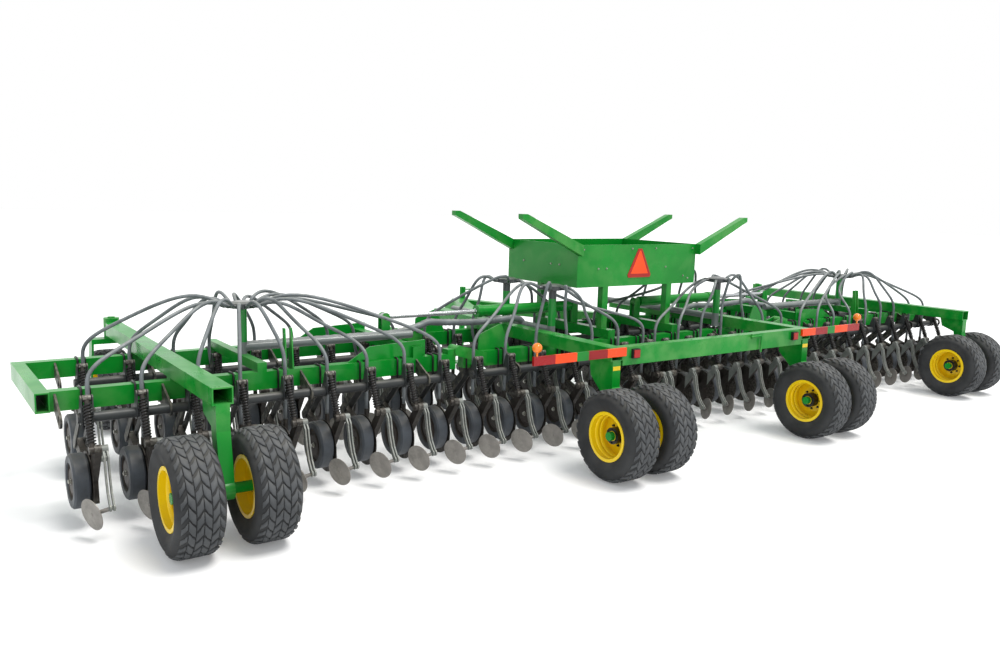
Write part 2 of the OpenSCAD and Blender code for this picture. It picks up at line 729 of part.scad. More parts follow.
// Distribution towers and air pipes
pipe_r = 38;
pipe_z = stringer_top + pipe_r + bead_gap;
mast_r = 42;
head_r = 125;
head_h = 70;
stub_len = 40;
wing_head_z = 1480;
centre_head_z = 1560;
centre_tower_x = 1290;
centre_tower_ys = [1480, 2300];
module tower(x, y, z0, head_z, count, turn) {
    translate([x, y, z0]) cylinder(r = mast_r, h = head_z - z0 + 5);
    translate([x, y, head_z]) rotate_extrude()
        polygon([[0, 0], [mast_r, 0], [head_r, 15], [head_r, head_h - 15], [head_r * 0.6, head_h], [0, head_h]]);
    for (i = [0 : count - 1]) translate([x, y, head_z + head_h / 2]) rotate([0, 90, turn + i * 360 / count])
        translate([0, 0, head_r - 20]) cylinder(r = hose_d / 2, h = stub_len + 20);
}

// Seed hoses. Each tower's outlets go round in the order of their targets' directions.
// A hose that would come down on a lengthwise beam is set beside it.
rail_and_pipe = [centre_tower_x - pipe_r, centre_wheel_x + rail_w / 2];
beams = [
    [-(rail_and_pipe[0] + rail_and_pipe[1]) / 2, rail_and_pipe[1] - rail_and_pipe[0]],
    [-wing_wheel_x, rail_w], [-wing_tower_x, tower_beam_w], [-wing_stringer_x, stringer_w],
];
beam_room = 24;
function beside(x, beam) = let (room = beam[1] / 2 + hose_d / 2 + beam_room)
    abs(x - beam[0]) < room ? beam[0] + (x > beam[0] ? room : -room) : x;
function clear_x(x, i = 0) = i == len(beams) ? x : clear_x(beside(x, beams[i]), i + 1);
function inlet_point(x, dy) = [x + inlet_x, seed_inlet[0] + dy, seed_inlet[1] + bead_gap];
function drop_point(x, dy) = [clear_x(x + inlet_x), seed_inlet[0] + dy, cross_top + 45];
function bearing_to(c, p) = atan2(p[1] - c[1], p[0] - c[0]);
function order(list, i) = len([for (v = list) if (v < list[i]) v]);
function mean(list, i = 0) = i == len(list) ? 0 : list[i] / len(list) + mean(list, i + 1);
function outlet_turn(c, drops) = let (a = [for (p = drops) bearing_to(c, p)], step = 360 / len(drops))
    mean([for (i = [0 : len(a) - 1]) a[i] - order(a, i) * step]);
// Hoses leave in three tiers, so that neighbours lie clear, and the innermost dip under the rest box
hose_steps = 10;
hose_sides = 6;
hose_reach = 300;
hose_full_reach_at = 600;
hose_lift = 150;
hose_dip = -120;
tier_lift = 45;
tier_drop = 40;
drape_z = [1400, 1250];
dip_z = 1330;
drape_at = [0.45, 0.8];
drop_rise = 220;
function binomial5(i) = [1, 5, 10, 10, 5, 1][i];
function sum_points(p, t, i = 0) = i == 5 ? pow(t, 5) * p[5]
    : binomial5(i) * pow(1 - t, 5 - i) * pow(t, i) * p[i] + sum_points(p, t, i + 1);
function hose_route(c, out, drop, inlet, tier) = let (
        start = c + out * (head_r + stub_len + bead_gap),
        way = [drop[0] - c[0], drop[1] - c[1]],
        under = abs(drop[0]) < rest_half_w + hose_reach / 2,
        reach = hose_reach * min(1, norm(way) / hose_full_reach_at),
        flat = [c[0], c[1]],
        side = [out[0], out[1]] * reach,
        over = flat + way * drape_at[0] + side / 2,
        low = flat + way * drape_at[1],
        points = [
            start,
            start + [side[0], side[1], under ? hose_dip : hose_lift + tier * tier_lift],
            [over[0], over[1], under ? dip_z : drape_z[0] + tier * tier_drop],
            [low[0], low[1], drape_z[1] + tier * tier_drop / 2],
            drop + [0, 0, drop_rise],
            drop,
        ])
    concat([for (i = [0 : hose_steps]) sum_points(points, i / hose_steps)], [inlet]);
function unit(v) = v / norm(v);
function tangent(p, i, out) = i == 0 ? out : i == len(p) - 1 ? [0, 0, -1] : unit(p[i + 1] - p[i - 1]);
module hose(route, out) {
    n = len(route);
    flat = route[n - 1] - route[0];
    across = unit([-flat[1], flat[0], 0]);
    points = [
        for (i = [0 : n - 1]) let (t = tangent(route, i, out), u = unit(across - (across * t) * t), v = cross(t, u))
            for (k = [0 : hose_sides - 1]) let (a = 360 * k / hose_sides)
                route[i] + hose_d / 2 * (cos(a) * u + sin(a) * v)
    ];
    walls = [for (i = [0 : n - 2], k = [0 : hose_sides - 1]) let (m = (k + 1) % hose_sides, a = i * hose_sides)
        each [[a + k, a + hose_sides + k, a + m], [a + m, a + hose_sides + k, a + hose_sides + m]]];
    ends = [[for (k = [0 : hose_sides - 1]) k], [for (k = [hose_sides - 1 : -1 : 0]) (n - 1) * hose_sides + k]];
    polyhedron(points, concat(walls, ends));
}
module hose_fan(x, y, head_z, xs, dys) {
    c = [x, y, head_z + head_h / 2];
    drops = [for (i = [0 : len(xs) - 1]) drop_point(xs[i], dys[i])];
    a = [for (p = drops) bearing_to(c, p)];
    turn = outlet_turn(c, drops);
    for (i = [0 : len(xs) - 1]) {
        angle = turn + order(a, i) * 360 / len(xs);
        out = [cos(angle), sin(angle), 0];
        hose(hose_route(c, out, drops[i], inlet_point(xs[i], dys[i]), order(a, i) % 3), out);
    }
}
wing_targets = concat(rear_wing, front_wing);
wing_dys = [for (i = [0 : 2 * wing_count - 1]) i < wing_count ? 0 : rank_pitch];
centre_targets = [rear_centre, front_centre];
function centre_dys(r) = [for (x = centre_targets[r]) r * rank_pitch];
function drops_for(xs, dys) = [for (i = [0 : len(xs) - 1]) drop_point(xs[i], dys[i])];
module wing_tower(right) {
    c = [-wing_tower_x, wing_tower_y, wing_head_z];
    color(grey) placed() on_side(right) {
        turn = outlet_turn(c, drops_for(wing_targets, wing_dys));
        tower(c[0], c[1], cross_top + tower_beam_w, c[2], len(wing_targets), turn);
        translate([-wing_tower_x, wing_tower_y, pipe_z]) rotate([0, 90, 0])
            cylinder(r = pipe_r, h = wing_tower_x - wing_stringer_x + 200);
    }
}
module wing_hoses(right) {
    color(grey) placed() on_side(right) hose_fan(-wing_tower_x, wing_tower_y, wing_head_z, wing_targets, wing_dys);
}
module centre_towers() {
    color(grey) placed() both() {
        bar_y(-centre_tower_x, pipe_z, pipe_r, centre_tower_ys[0], front_tube_y + 700);
        for (r = [0, 1]) {
            c = [-centre_tower_x, centre_tower_ys[r], centre_head_z];
            turn = outlet_turn(c, drops_for(centre_targets[r], centre_dys(r)));
            tower(c[0], c[1], rail_z, c[2], len(centre_targets[r]), turn);
            block(-centre_wheel_x + rail_w / 2, -centre_tower_x, c[1] - 25, c[1] + 25, rail_z, rail_z + 40);
        }
    }
}
module centre_hoses() {
    color(grey) placed() both() for (r = [0, 1])
        hose_fan(-centre_tower_x, centre_tower_ys[r], centre_head_z, centre_targets[r], centre_dys(r));
}

centre_frame();
centre_rails();
rear_crossbar();
drawbar();
parking_jack();
wing_rest();
centre_wheel_arms();
centre_hangers();
centre_towers();
fold_barrels();
light_bars();
marker_lamps();
slow_sign();
centre_hoses();
wing_frame(false);  // left_wing_frame
wing_rail(false);  // left_wing_rail
wing_wheel_arm(false);  // left_wing_wheel_arm
wing_hangers(false);  // left_wing_hangers
wing_tower(false);  // left_wing_tower
wing_hoses(false);  // left_wing_hoses
fold_rod(false);  // left_fold_rod
caster_fork(false);  // left_caster_fork
caster_tyre(false);  // left_caster_tyre
caster_rim(false);  // left_caster_rim
twin_tyres(-centre_wheel_x, 0, centre_twin);  // left_centre_tyres
twin_rims(-centre_wheel_x, 0, centre_twin);  // left_centre_rims
twin_tyres(-wing_wheel_x, wing_axle_y, wing_twin);  // left_wing_tyres
twin_rims(-wing_wheel_x, wing_axle_y, wing_twin);  // left_wing_rims
wing_rear_shaft(false);  // left_rear_shaft
wing_rear_openers(false);  // left_rear_openers
wing_rear_gauges(false);  // left_rear_gauges
wing_front_shaft(false);  // left_front_shaft
wing_front_openers(false);  // left_front_openers
wing_front_gauges(false);  // left_front_gauges
wing_frame(true);  // right_wing_frame
wing_rail(true);  // right_wing_rail
wing_wheel_arm(true);  // right_wing_wheel_arm
wing_hangers(true);  // right_wing_hangers
wing_tower(true);  // right_wing_tower
wing_hoses(true);  // right_wing_hoses
fold_rod(true);  // right_fold_rod
caster_fork(true);  // right_caster_fork
caster_tyre(true);  // right_caster_tyre
caster_rim(true);  // right_caster_rim
twin_tyres(centre_wheel_x, 0, centre_twin);  // right_centre_tyres
twin_rims(centre_wheel_x, 0, centre_twin);  // right_centre_rims
twin_tyres(wing_wheel_x, wing_axle_y, wing_twin);  // right_wing_tyres
twin_rims(wing_wheel_x, wing_axle_y, wing_twin);  // right_wing_rims
wing_rear_shaft(true);  // right_rear_shaft
wing_rear_openers(true);  // right_rear_openers
wing_rear_gauges(true);  // right_rear_gauges
wing_front_shaft(true);  // right_front_shaft
wing_front_openers(true);  // right_front_openers
wing_front_gauges(true);  // right_front_gauges
centre_rear_shaft();
centre_rear_openers();
centre_rear_gauges();
centre_front_shaft();
centre_front_openers();
centre_front_gauges();
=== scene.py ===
"""Looks of an unfolded three-section air drill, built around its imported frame. Sizes are in metres."""
import json
import math

import bpy
from mathutils import Matrix, Vector


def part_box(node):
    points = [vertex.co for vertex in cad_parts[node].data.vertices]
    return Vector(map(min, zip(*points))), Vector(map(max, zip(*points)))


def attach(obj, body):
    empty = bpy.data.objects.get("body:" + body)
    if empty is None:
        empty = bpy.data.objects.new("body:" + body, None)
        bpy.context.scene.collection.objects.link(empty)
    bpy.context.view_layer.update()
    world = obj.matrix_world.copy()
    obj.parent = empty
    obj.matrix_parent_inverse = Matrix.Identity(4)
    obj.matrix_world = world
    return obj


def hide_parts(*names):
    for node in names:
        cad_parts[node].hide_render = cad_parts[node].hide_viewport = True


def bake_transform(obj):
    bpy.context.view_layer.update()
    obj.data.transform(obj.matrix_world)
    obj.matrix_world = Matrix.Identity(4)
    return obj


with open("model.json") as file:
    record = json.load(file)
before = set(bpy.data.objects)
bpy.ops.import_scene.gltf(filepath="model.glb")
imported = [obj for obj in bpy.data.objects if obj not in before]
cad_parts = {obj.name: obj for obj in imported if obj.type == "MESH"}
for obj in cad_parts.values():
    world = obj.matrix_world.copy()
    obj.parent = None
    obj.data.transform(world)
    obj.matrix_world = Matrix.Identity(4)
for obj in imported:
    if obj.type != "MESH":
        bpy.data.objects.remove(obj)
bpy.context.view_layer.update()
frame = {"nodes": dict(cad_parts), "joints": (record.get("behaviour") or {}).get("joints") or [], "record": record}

# Camera of the photograph: its focal length in pixels, and its place from the rear axle's middle
IMAGE_W = 1000
FOCAL_PX = 863.0
SENSOR_W = 36.0
CAMERA_YAW = math.radians(35.76)
CAMERA_PITCH = math.radians(8.81)
CAMERA_ROLL = math.radians(1.65)
CAMERA_FROM_AXLE = Vector((-6.98, -5.50, 2.49))
CAMERA_CLIP = 200.0

# Frame places that the looks are built on
JOINTS = {joint["name"]: joint for joint in frame["joints"]}
AXLE_Y = JOINTS["left_centre_wheels_spin"]["pos_m"][1]
HINGE_X = abs(JOINTS["left_wing_fold"]["pos_m"][0])
SIDES = {"left": -1, "right": 1}
SECTIONS = ("centre", "left", "right")
RANKS = ("rear", "front")
LIFT_PIVOT = {(s, r): Vector(JOINTS[f"{s}_{r}_lift"]["pos_m"]) for s in SECTIONS for r in RANKS}

# Openers of a rank: pitch, place of the first in pitches from the middle, number to each side
PITCH = 0.381
FIRST_STEP = {"rear": 0.5, "front": 1.0}
CENTRE_COUNT = {"rear": 7, "front": 6}
WING_COUNT = 9

# Places on an opener: (Y, Z) from its swing pivot, and X from its gauge wheel's middle towards its casting
KNUCKLE = (-0.72, 0.13)
SPRING_TOP = (-0.565, 0.48)
GAUGE_HUB = (-0.47, -0.155)
SEED_INLET = (-0.43, 0.10)
SPRING_X = 0.065
INLET_X = 0.0975
GAUGE_FACE_X = -0.046

# Other places on the frame: the top of the cross tubes, half the wing rest's width, the wing towers' X
CROSS_TOP = 1.005
REST_SIDE_X = 0.92
WING_TOWER_X = 4.450


def section_body(section):
    return "centre_section" if section == "centre" else f"{section}_wing"


def section_node(section, name):
    """The CAD node of that name on one section."""
    return f"centre_{name}" if section == "centre" else f"{section}_wing_{name}"


def opener_places(section, rank):
    """X of each opener's gauge wheel, with the side its casting lies on (+1 when that is towards +X)."""
    count = CENTRE_COUNT[rank]
    steps = [FIRST_STEP[rank] + k for k in range(count + WING_COUNT)]
    if section == "centre":
        return [(-k * PITCH, 1) for k in steps[:count]] + [(k * PITCH, -1) for k in steps[:count]]
    side = SIDES[section]
    return [(side * k * PITCH, -side) for k in steps[count:]]


def on_opener(pivot, x, spot):
    return Vector((x, pivot.y + spot[0], pivot.z + spot[1]))


# Meshes

# A tube that starts steeper than this, as the upward share of its direction, is set out from Y
STEEP = 0.9
WASHER_SEGMENTS = 12
HEAD_SEGMENTS = 6


def new_piece(name, verts, faces, material, smooth=True):
    mesh = bpy.data.meshes.new(name)
    mesh.from_pydata(verts, [], faces)
    mesh.materials.append(material)
    mesh.polygons.foreach_set("use_smooth", [smooth] * len(mesh.polygons))
    mesh.update()
    piece = bpy.data.objects.new(name, mesh)
    bpy.context.scene.collection.objects.link(piece)
    return piece


class Builder:
    """Collects many small shapes into one mesh."""

    def __init__(self):
        self.verts = []
        self.faces = []

    def add(self, verts, faces):
        base = len(self.verts)
        self.verts.extend(verts)
        self.faces.extend([tuple(base + i for i in face) for face in faces])

    def box(self, low, high):
        corners = [(x, y, z) for x in (low[0], high[0]) for y in (low[1], high[1]) for z in (low[2], high[2])]
        across = [(0, 1, 3, 2), (4, 6, 7, 5)]
        around = [(0, 4, 5, 1), (2, 3, 7, 6), (0, 2, 6, 4), (1, 5, 7, 3)]
        self.add(corners, across + around)

    def tube(self, path, radius, sides):
        """A round tube with closed ends along a list of points; radius is one number or one per point."""
        radii = radius if isinstance(radius, list) else [radius] * len(path)
        path = [Vector(p) for p in path]
        steep = abs((path[1] - path[0]).normalized().z) >= STEEP
        up = Vector((0, 1, 0)) if steep else Vector((0, 0, 1))
        base = len(self.verts)
        side = None
        for i, p in enumerate(path):
            t = (path[min(i + 1, len(path) - 1)] - path[max(i - 1, 0)]).normalized()
            side = (up.cross(t) if side is None else side - side.dot(t) * t).normalized()
            other = t.cross(side)
            for k in range(sides):
                a = 2 * math.pi * k / sides
                self.verts.append(tuple(p + radii[i] * (math.cos(a) * side + math.sin(a) * other)))
        for i in range(len(path) - 1):
            ring = base + i * sides
            for k in range(sides):
                m = (k + 1) % sides
                self.faces.append((ring + k, ring + m, ring + sides + m, ring + sides + k))
        last = base + (len(path) - 1) * sides
        self.faces.append(tuple(base + k for k in reversed(range(sides))))
        self.faces.append(tuple(last + k for k in range(sides)))

    def lathe(self, centre, axis, profile, segments):
        """Turns (distance along axis, radius) pairs about an axis through centre."""
        axis = Vector(axis).normalized()
        side = axis.orthogonal().normalized()
        other = axis.cross(side)
        base = len(self.verts)
        n = len(profile)
        for k in range(segments):
            a = 2 * math.pi * k / segments
            ray = math.cos(a) * side + math.sin(a) * other
            for along, r in profile:
                self.verts.append(tuple(Vector(centre) + along * axis + r * ray))
        for k in range(segments):
            near = base + k * n
            far = base + (k + 1) % segments * n
            for i in range(n - 1):
                self.faces.append((near + i, far + i, far + i + 1, near + i + 1))

    def bolt(self, centre, axis, size, height):
        """A hexagon head with a chamfered crown on a washer; size is the head's width across its flats."""
        washer_r = size * 0.75
        washer_top = height * 0.2
        head_r = size * 0.58
        crown_r = size * 0.45
        crown_foot = height * 0.85
        washer = [(0, washer_r), (washer_top, washer_r), (washer_top, 0.0)]
        head = [(washer_top, head_r), (crown_foot, head_r), (height, crown_r), (height, 0.0)]
        self.lathe(centre, axis, washer, WASHER_SEGMENTS)
        self.lathe(centre, axis, head, HEAD_SEGMENTS)

    def piece(self, name, material, smooth=True):
        return new_piece(name, self.verts, self.faces, material, smooth)


def place(piece, body, slot, *replaced):
    """Hangs a finished piece on its body and hides the CAD parts that it replaces. The slot is not used."""
    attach(piece, body)
    if replaced:
        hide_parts(*replaced)
    return piece


# Materials

# Spans of a noise over which a tone comes in
TONE_SPAN = (0.38, 0.66)
ZONE_SPAN = (0.3, 0.7)
ROUGH_SPAN = (0.3, 0.7)
DUST_SPAN = (0.3, 0.62)
WEAR_AND_HIGHLIGHT_SPAN = (0.42, 0.6)
# How far a face points up where dust lies, and how sharp an edge is where it takes the edge colour: worn bare on
# the steel parts, a painted highlight on the green paint
DUST_SLOPE = (0.25, 1.0)
EDGE_SHARP = (0.53, 0.6)
# How much finer than the patches the noises of dust and of the edge colour are; the edge colour is wear on steel
# and a painted highlight on the green paint
DUST_FINER = 2.2
WEAR_AND_HIGHLIGHT_FINER = 3.5
# Detail of the noises
PATCH_DETAIL = 5.0
FINE_DETAIL = 6.0
GRAIN_DETAIL = 4.0
ZONE_DARK = 0.7
ROUGH_SWING = 0.16
COAT_ROUGH = 0.12
GRAIN_DEPTH = 0.001
# Sockets of a Mix node in its colour form
MIX_A = 6
MIX_B = 7
MIX_RESULT = 2


def srgb(r, g, b):
    """An 8-bit screen colour as the linear colour a shader takes."""
    def linear(c):
        c = c / 255
        return c / 12.92 if c <= 0.04045 else ((c + 0.055) / 1.055) ** 2.4
    return (linear(r), linear(g), linear(b), 1.0)


class Graph:
    """A material's shader nodes, with a short form for each kind that the surfaces use."""

    def __init__(self, material):
        material.use_nodes = True
        self.nodes = material.node_tree.nodes
        self.links = material.node_tree.links
        self.shader = self.nodes["Principled BSDF"]
        self.point = self.nodes.new("ShaderNodeTexCoord").outputs["Object"]

    def feed(self, socket, value):
        """Sets a socket to a number or colour, or links it to another node's output."""
        if isinstance(value, (float, tuple)):
            socket.default_value = value
        else:
            self.links.new(value, socket)

    def calc(self, operation, *values):
        node = self.nodes.new("ShaderNodeMath")
        node.operation = operation
        for socket, value in zip(node.inputs, values):
            self.feed(socket, value)
        return node.outputs["Value"]

    def noise(self, scale, detail):
        node = self.nodes.new("ShaderNodeTexNoise")
        self.feed(node.inputs["Scale"], scale)
        self.feed(node.inputs["Detail"], detail)
        self.feed(node.inputs["Vector"], self.point)
        return node.outputs["Fac"]

    def ramp(self, source, span, top=1.0):
        """0 below a span of the source, rising to top above it."""
        node = self.nodes.new("ShaderNodeMapRange")
        self.feed(node.inputs["From Min"], span[0])
        self.feed(node.inputs["From Max"], span[1])
        self.feed(node.inputs["To Max"], top)
        self.feed(node.inputs["Value"], source)
        return node.outputs["Result"]

    def mixed(self, share, a, b):
        """Colour a, turning to b as the share rises."""
        node = self.nodes.new("ShaderNodeMix")
        node.data_type = "RGBA"
        self.feed(node.inputs["Factor"], share)
        self.feed(node.inputs[MIX_A], a)
        self.feed(node.inputs[MIX_B], b)
        return node.outputs[MIX_RESULT]

    def split(self, vector):
        node = self.nodes.new("ShaderNodeSeparateXYZ")
        self.feed(node.inputs[0], vector)
        return node.outputs

    def geometry(self, name):
        return self.nodes.new("ShaderNodeNewGeometry").outputs[name]

    def measures(self, zone_at):
        """What zones are measured by, as surface lists it."""
        axes = self.split(self.point)
        out = self.calc("ABSOLUTE", axes["X"])
        y = self.calc("SUBTRACT", axes["Y"], zone_at[0])
        z = self.calc("SUBTRACT", axes["Z"], zone_at[1])
        squares = self.calc("ADD", self.calc("MULTIPLY", y, y), self.calc("MULTIPLY", z, z))
        return {"X": self.calc("FLOORED_MODULO", out, PITCH), "Y": y, "Z": z, "R": self.calc("SQRT", squares),
                "A": axes["Z"], "B": out}

    def zoned(self, colour, blotch, zones, zone_at):
        """The colour with each zone's own tone laid over its spans."""
        measures = self.measures(zone_at)
        for tone, limits in zones:
            share = 1.0
            for measure, low, high in limits:
                inside = self.calc("COMPARE", measures[measure], (low + high) / 2, (high - low) / 2)
                share = self.calc("MULTIPLY", share, inside)
            darker = tuple(ZONE_DARK * c for c in tone[:3]) + (1.0,)
            colour = self.mixed(share, colour, self.mixed(self.ramp(blotch, ZONE_SPAN), tone, darker))
        return colour

    def grained(self, strength, size):
        bump = self.nodes.new("ShaderNodeBump")
        self.feed(bump.inputs["Strength"], strength)
        self.feed(bump.inputs["Distance"], GRAIN_DEPTH)
        self.feed(bump.inputs["Height"], self.noise(size, GRAIN_DETAIL))
        self.feed(self.shader.inputs["Normal"], bump.outputs["Normal"])


def surface(name, base, second, roughness, metallic=0.0, patch=6.0, grain=0.0, grain_size=400.0, dust=None,
            dust_share=0.0, coat=0.0, shine=0.3, edge_wear_and_highlight=None, edge_wear_and_highlight_share=0.0, zones=(), zone_at=(0.0, 0.0)):
    """One procedural surface: two tones in patches, a fine grain, dust on what faces up, and sharp edges in
    patches of an edge colour, which is wear on the steel parts and a painted highlight on the green paint.

    A zone is a colour and the spans it fills. B is the distance from the middle plane, and X is the part of
    it left over from whole opener pitches. A is plain height. Y and Z count from zone_at, and R is the
    distance from zone_at in the YZ plane."""
    material = bpy.data.materials.new(name)
    graph = Graph(material)
    blotch = graph.noise(patch, PATCH_DETAIL)
    colour = graph.mixed(graph.ramp(blotch, TONE_SPAN), base, second)
    if zones:
        colour = graph.zoned(colour, blotch, zones, zone_at)
    if dust:
        upward = graph.ramp(graph.split(graph.geometry("Normal"))["Z"], DUST_SLOPE, dust_share)
        lying = graph.ramp(graph.noise(patch * DUST_FINER, FINE_DETAIL), DUST_SPAN)
        colour = graph.mixed(graph.calc("MULTIPLY", upward, lying), colour, dust)
    # Sharp edges take the edge colour in patches: worn bare metal on the steel parts, a painted highlight in a
    # paler green on the green paint.
    if edge_wear_and_highlight:
        wear_and_highlight_edges = graph.ramp(graph.geometry("Pointiness"), EDGE_SHARP, edge_wear_and_highlight_share)
        wear_and_highlight_patches = graph.ramp(graph.noise(patch * WEAR_AND_HIGHLIGHT_FINER, FINE_DETAIL), WEAR_AND_HIGHLIGHT_SPAN)
        colour = graph.mixed(graph.calc("MULTIPLY", wear_and_highlight_edges, wear_and_highlight_patches), colour, edge_wear_and_highlight)
    rough = graph.calc("ADD", graph.ramp(blotch, ROUGH_SPAN, ROUGH_SWING), roughness - ROUGH_SWING / 2)
    finish = {"Base Color": colour, "Roughness": rough, "Metallic": metallic, "Specular IOR Level": shine,
              "Coat Weight": coat, "Coat Roughness": COAT_ROUGH}
    for socket, value in finish.items():
        graph.feed(graph.shader.inputs[socket], value)
    if grain:
        graph.grained(grain, grain_size)
    return material


PAINT_GREEN = srgb(8, 138, 40)
TAPE_DARK_RED = srgb(158, 14, 20)
FIELD_DUST = srgb(176, 178, 160)
SOIL_DUST = srgb(128, 118, 98)
BARE_STEEL = srgb(150, 148, 140)
ARM_TONE = srgb(132, 136, 132)
DISC_TONE = srgb(142, 138, 133)
FACE_TONE = srgb(56, 49, 44)
PIPE_TONE = srgb(120, 126, 126)
HEAD_TONE = srgb(70, 74, 77)

# Spans of the light bars' tape, out from the middle plane
OUTER_RED = (2.21, 2.46)
GREEN_GAP = (1.82, 1.96)
INNER_RED = (1.59, 1.82)
# Heights on a distribution tower: the air pipe below and the head on top
PIPE_Z = (0.0, 1.19)
HEAD_Z = (1.478, 1.75)
# Spans of an opener's closing arm and disc, X back from the opener's middle, Y and Z from its swing pivot,
# and the radius of a gauge wheel's brown face
ARM_X = (0.1215, 0.1675)
ARM_Y = (-1.1, -0.60)
DISC_Y = (-1.1, -0.70)
DISC_Z = (-0.5, -0.155)
GAUGE_FACE_R = 0.139

# The green paint's edge colour, a paler green, is a painted highlight on its sharp edges.
GREEN = surface("green paint", PAINT_GREEN, srgb(6, 126, 36), 0.3, patch=1.6, grain=0.04, coat=0.15,
                shine=0.2, dust=FIELD_DUST, dust_share=0.07, edge_wear_and_highlight=srgb(96, 160, 84), edge_wear_and_highlight_share=0.4)
RUBBER = surface("tyre rubber", srgb(54, 55, 56), srgb(44, 45, 46), 0.78, patch=5.0, grain=0.25,
                 grain_size=600.0, dust=srgb(120, 118, 110), dust_share=0.35)
TREAD = surface("tread rubber", srgb(80, 82, 84), srgb(66, 68, 70), 0.74, patch=5.0, grain=0.2,
                grain_size=600.0, dust=srgb(124, 122, 116), dust_share=0.3)
YELLOW = surface("rim yellow", srgb(248, 212, 20), srgb(240, 200, 12), 0.36, patch=2.5, coat=0.2,
                 dust=srgb(186, 160, 96), dust_share=0.25)
HOSE = surface("seed hose", srgb(120, 125, 128), srgb(96, 101, 104), 0.42, patch=9.0, grain=0.15,
               grain_size=220.0, dust=FIELD_DUST, dust_share=0.3)
SHAFT = surface("rockshaft steel", srgb(56, 59, 60), srgb(43, 45, 46), 0.46, metallic=0.1, patch=3.0,
                grain=0.2, dust=srgb(128, 124, 112), dust_share=0.35, edge_wear_and_highlight=srgb(132, 126, 112),
                edge_wear_and_highlight_share=0.4)
HANGER = surface("hanger casting", srgb(48, 50, 49), srgb(36, 37, 37), 0.5, metallic=0.2, patch=6.0,
                 grain=0.25, dust=SOIL_DUST, dust_share=0.35, edge_wear_and_highlight=srgb(120, 116, 104), edge_wear_and_highlight_share=0.5)
SPRING = surface("spring black", srgb(22, 22, 23), srgb(30, 30, 31), 0.38, patch=8.0, coat=0.2)
CHROME = surface("rod chrome", srgb(205, 208, 210), srgb(190, 193, 196), 0.16, metallic=1.0, patch=3.0)
BLACK = surface("lamp black", srgb(26, 27, 28), srgb(36, 37, 38), 0.42, patch=5.0, grain=0.1)
TAPE = surface("orange tape", srgb(246, 76, 12), srgb(238, 66, 8), 0.32, patch=3.0, coat=0.1,
               zones=[(TAPE_DARK_RED, [("B", *OUTER_RED)]), (PAINT_GREEN, [("B", *GREEN_GAP)]),
                      (TAPE_DARK_RED, [("B", *INNER_RED)])])
SIGN = surface("sign orange", srgb(255, 80, 14), srgb(250, 74, 10), 0.34, patch=3.0, coat=0.1)
TAPE_RED = surface("red tape", srgb(176, 28, 20), srgb(160, 22, 16), 0.32, patch=3.0, coat=0.1)
AMBER = surface("amber lens", srgb(242, 128, 14), srgb(236, 116, 10), 0.14, patch=3.0, coat=0.6)
ZINC = surface("zinc bolts", srgb(176, 176, 168), srgb(150, 148, 138), 0.36, metallic=0.8, patch=9.0)
TOWER = surface("tower paint", srgb(6, 142, 48), srgb(4, 128, 42), 0.32, patch=2.0, coat=0.3, dust=FIELD_DUST,
                dust_share=0.2, zones=[(PIPE_TONE, [("A", *PIPE_Z)]), (HEAD_TONE, [("A", *HEAD_Z)])])


def opener_look(section, rank):
    """Opener steel with pale closing arms and bright closing discs, placed from the gang's swing pivot."""
    pivot = LIFT_PIVOT[section, rank]
    middle = FIRST_STEP[rank] * PITCH
    arm = [("X", middle - ARM_X[1], middle - ARM_X[0]), ("Y", *ARM_Y)]
    disc = [("Y", *DISC_Y), ("Z", *DISC_Z)]
    return surface(f"opener steel {section} {rank}", srgb(54, 50, 46), srgb(38, 35, 32), 0.5, metallic=0.2,
                   patch=12.0, grain=0.3, grain_size=260.0, dust=srgb(104, 96, 84), dust_share=0.3,
                   edge_wear_and_highlight=BARE_STEEL, edge_wear_and_highlight_share=0.5, zones=[(DISC_TONE, disc), (ARM_TONE, arm)],
                   zone_at=(pivot.y, pivot.z))


def gauge_look(section, rank):
    """Gauge wheel rubber with a brown dished face."""
    hub = on_opener(LIFT_PIVOT[section, rank], 0, GAUGE_HUB)
    return surface(f"gauge wheel {section} {rank}", srgb(68, 73, 79), srgb(54, 58, 63), 0.5, patch=6.0,
                   grain=0.2, grain_size=500.0, dust=srgb(128, 120, 104), dust_share=0.3,
                   zones=[(FACE_TONE, [("R", 0.0, GAUGE_FACE_R)])], zone_at=(hub.y, hub.z))


def paint_frame():
    """Gives each CAD node its own look, or else the look of its material slot."""
    slot_looks = {"paint": GREEN, "tyre": RUBBER, "rim": YELLOW, "hose": HOSE, "air_pipe": TOWER,
                  "rockshaft": SHAFT, "cylinder": GREEN, "rod": CHROME, "tape": TAPE, "lamp": AMBER,
                  "sign": SIGN}
    own_looks = {section_node(section, "hangers"): HANGER for section in SECTIONS}
    for section in SECTIONS:
        for rank in RANKS:
            own_looks[f"{section}_{rank}_openers"] = opener_look(section, rank)
            own_looks[f"{section}_{rank}_gauges"] = gauge_look(section, rank)
    for part in frame["record"]["subparts"]:
        name = part["node"]
        materials = frame["nodes"][name].data.materials
        materials.clear()
        materials.append(own_looks[name] if name in own_looks else slot_looks[part["material_slot"]])


paint_frame()


# Tyres: a smooth carcass with rows of slanted road blocks up to the CAD tyre's radius

TREAD_DEPTH = 0.011
SHOULDER_R = 0.085
TYRE_SEGMENTS = 72
# Foot of the side wall: share of the half width, height above the bead
WALL_FOOT = ((0.62, 0.0), (0.70, 0.006), (0.78, 0.022))
WALL_STEPS = 8
SHOULDER_STEPS = 8
# Steps of the shoulder over which the carcass sinks to the grooves' floor
SINK_STEPS = 3
BLOCKS_ROUND = 28
TREAD_COLUMNS = 6
TREAD_REACH = 0.155
GROOVE_HALF = 0.003
# A block's root in the carcass, its chamfer and the share of its outline that is left on top
BLOCK_ROOT = 0.004
BLOCK_CHAMFER = 0.003
BLOCK_TOP = 0.90
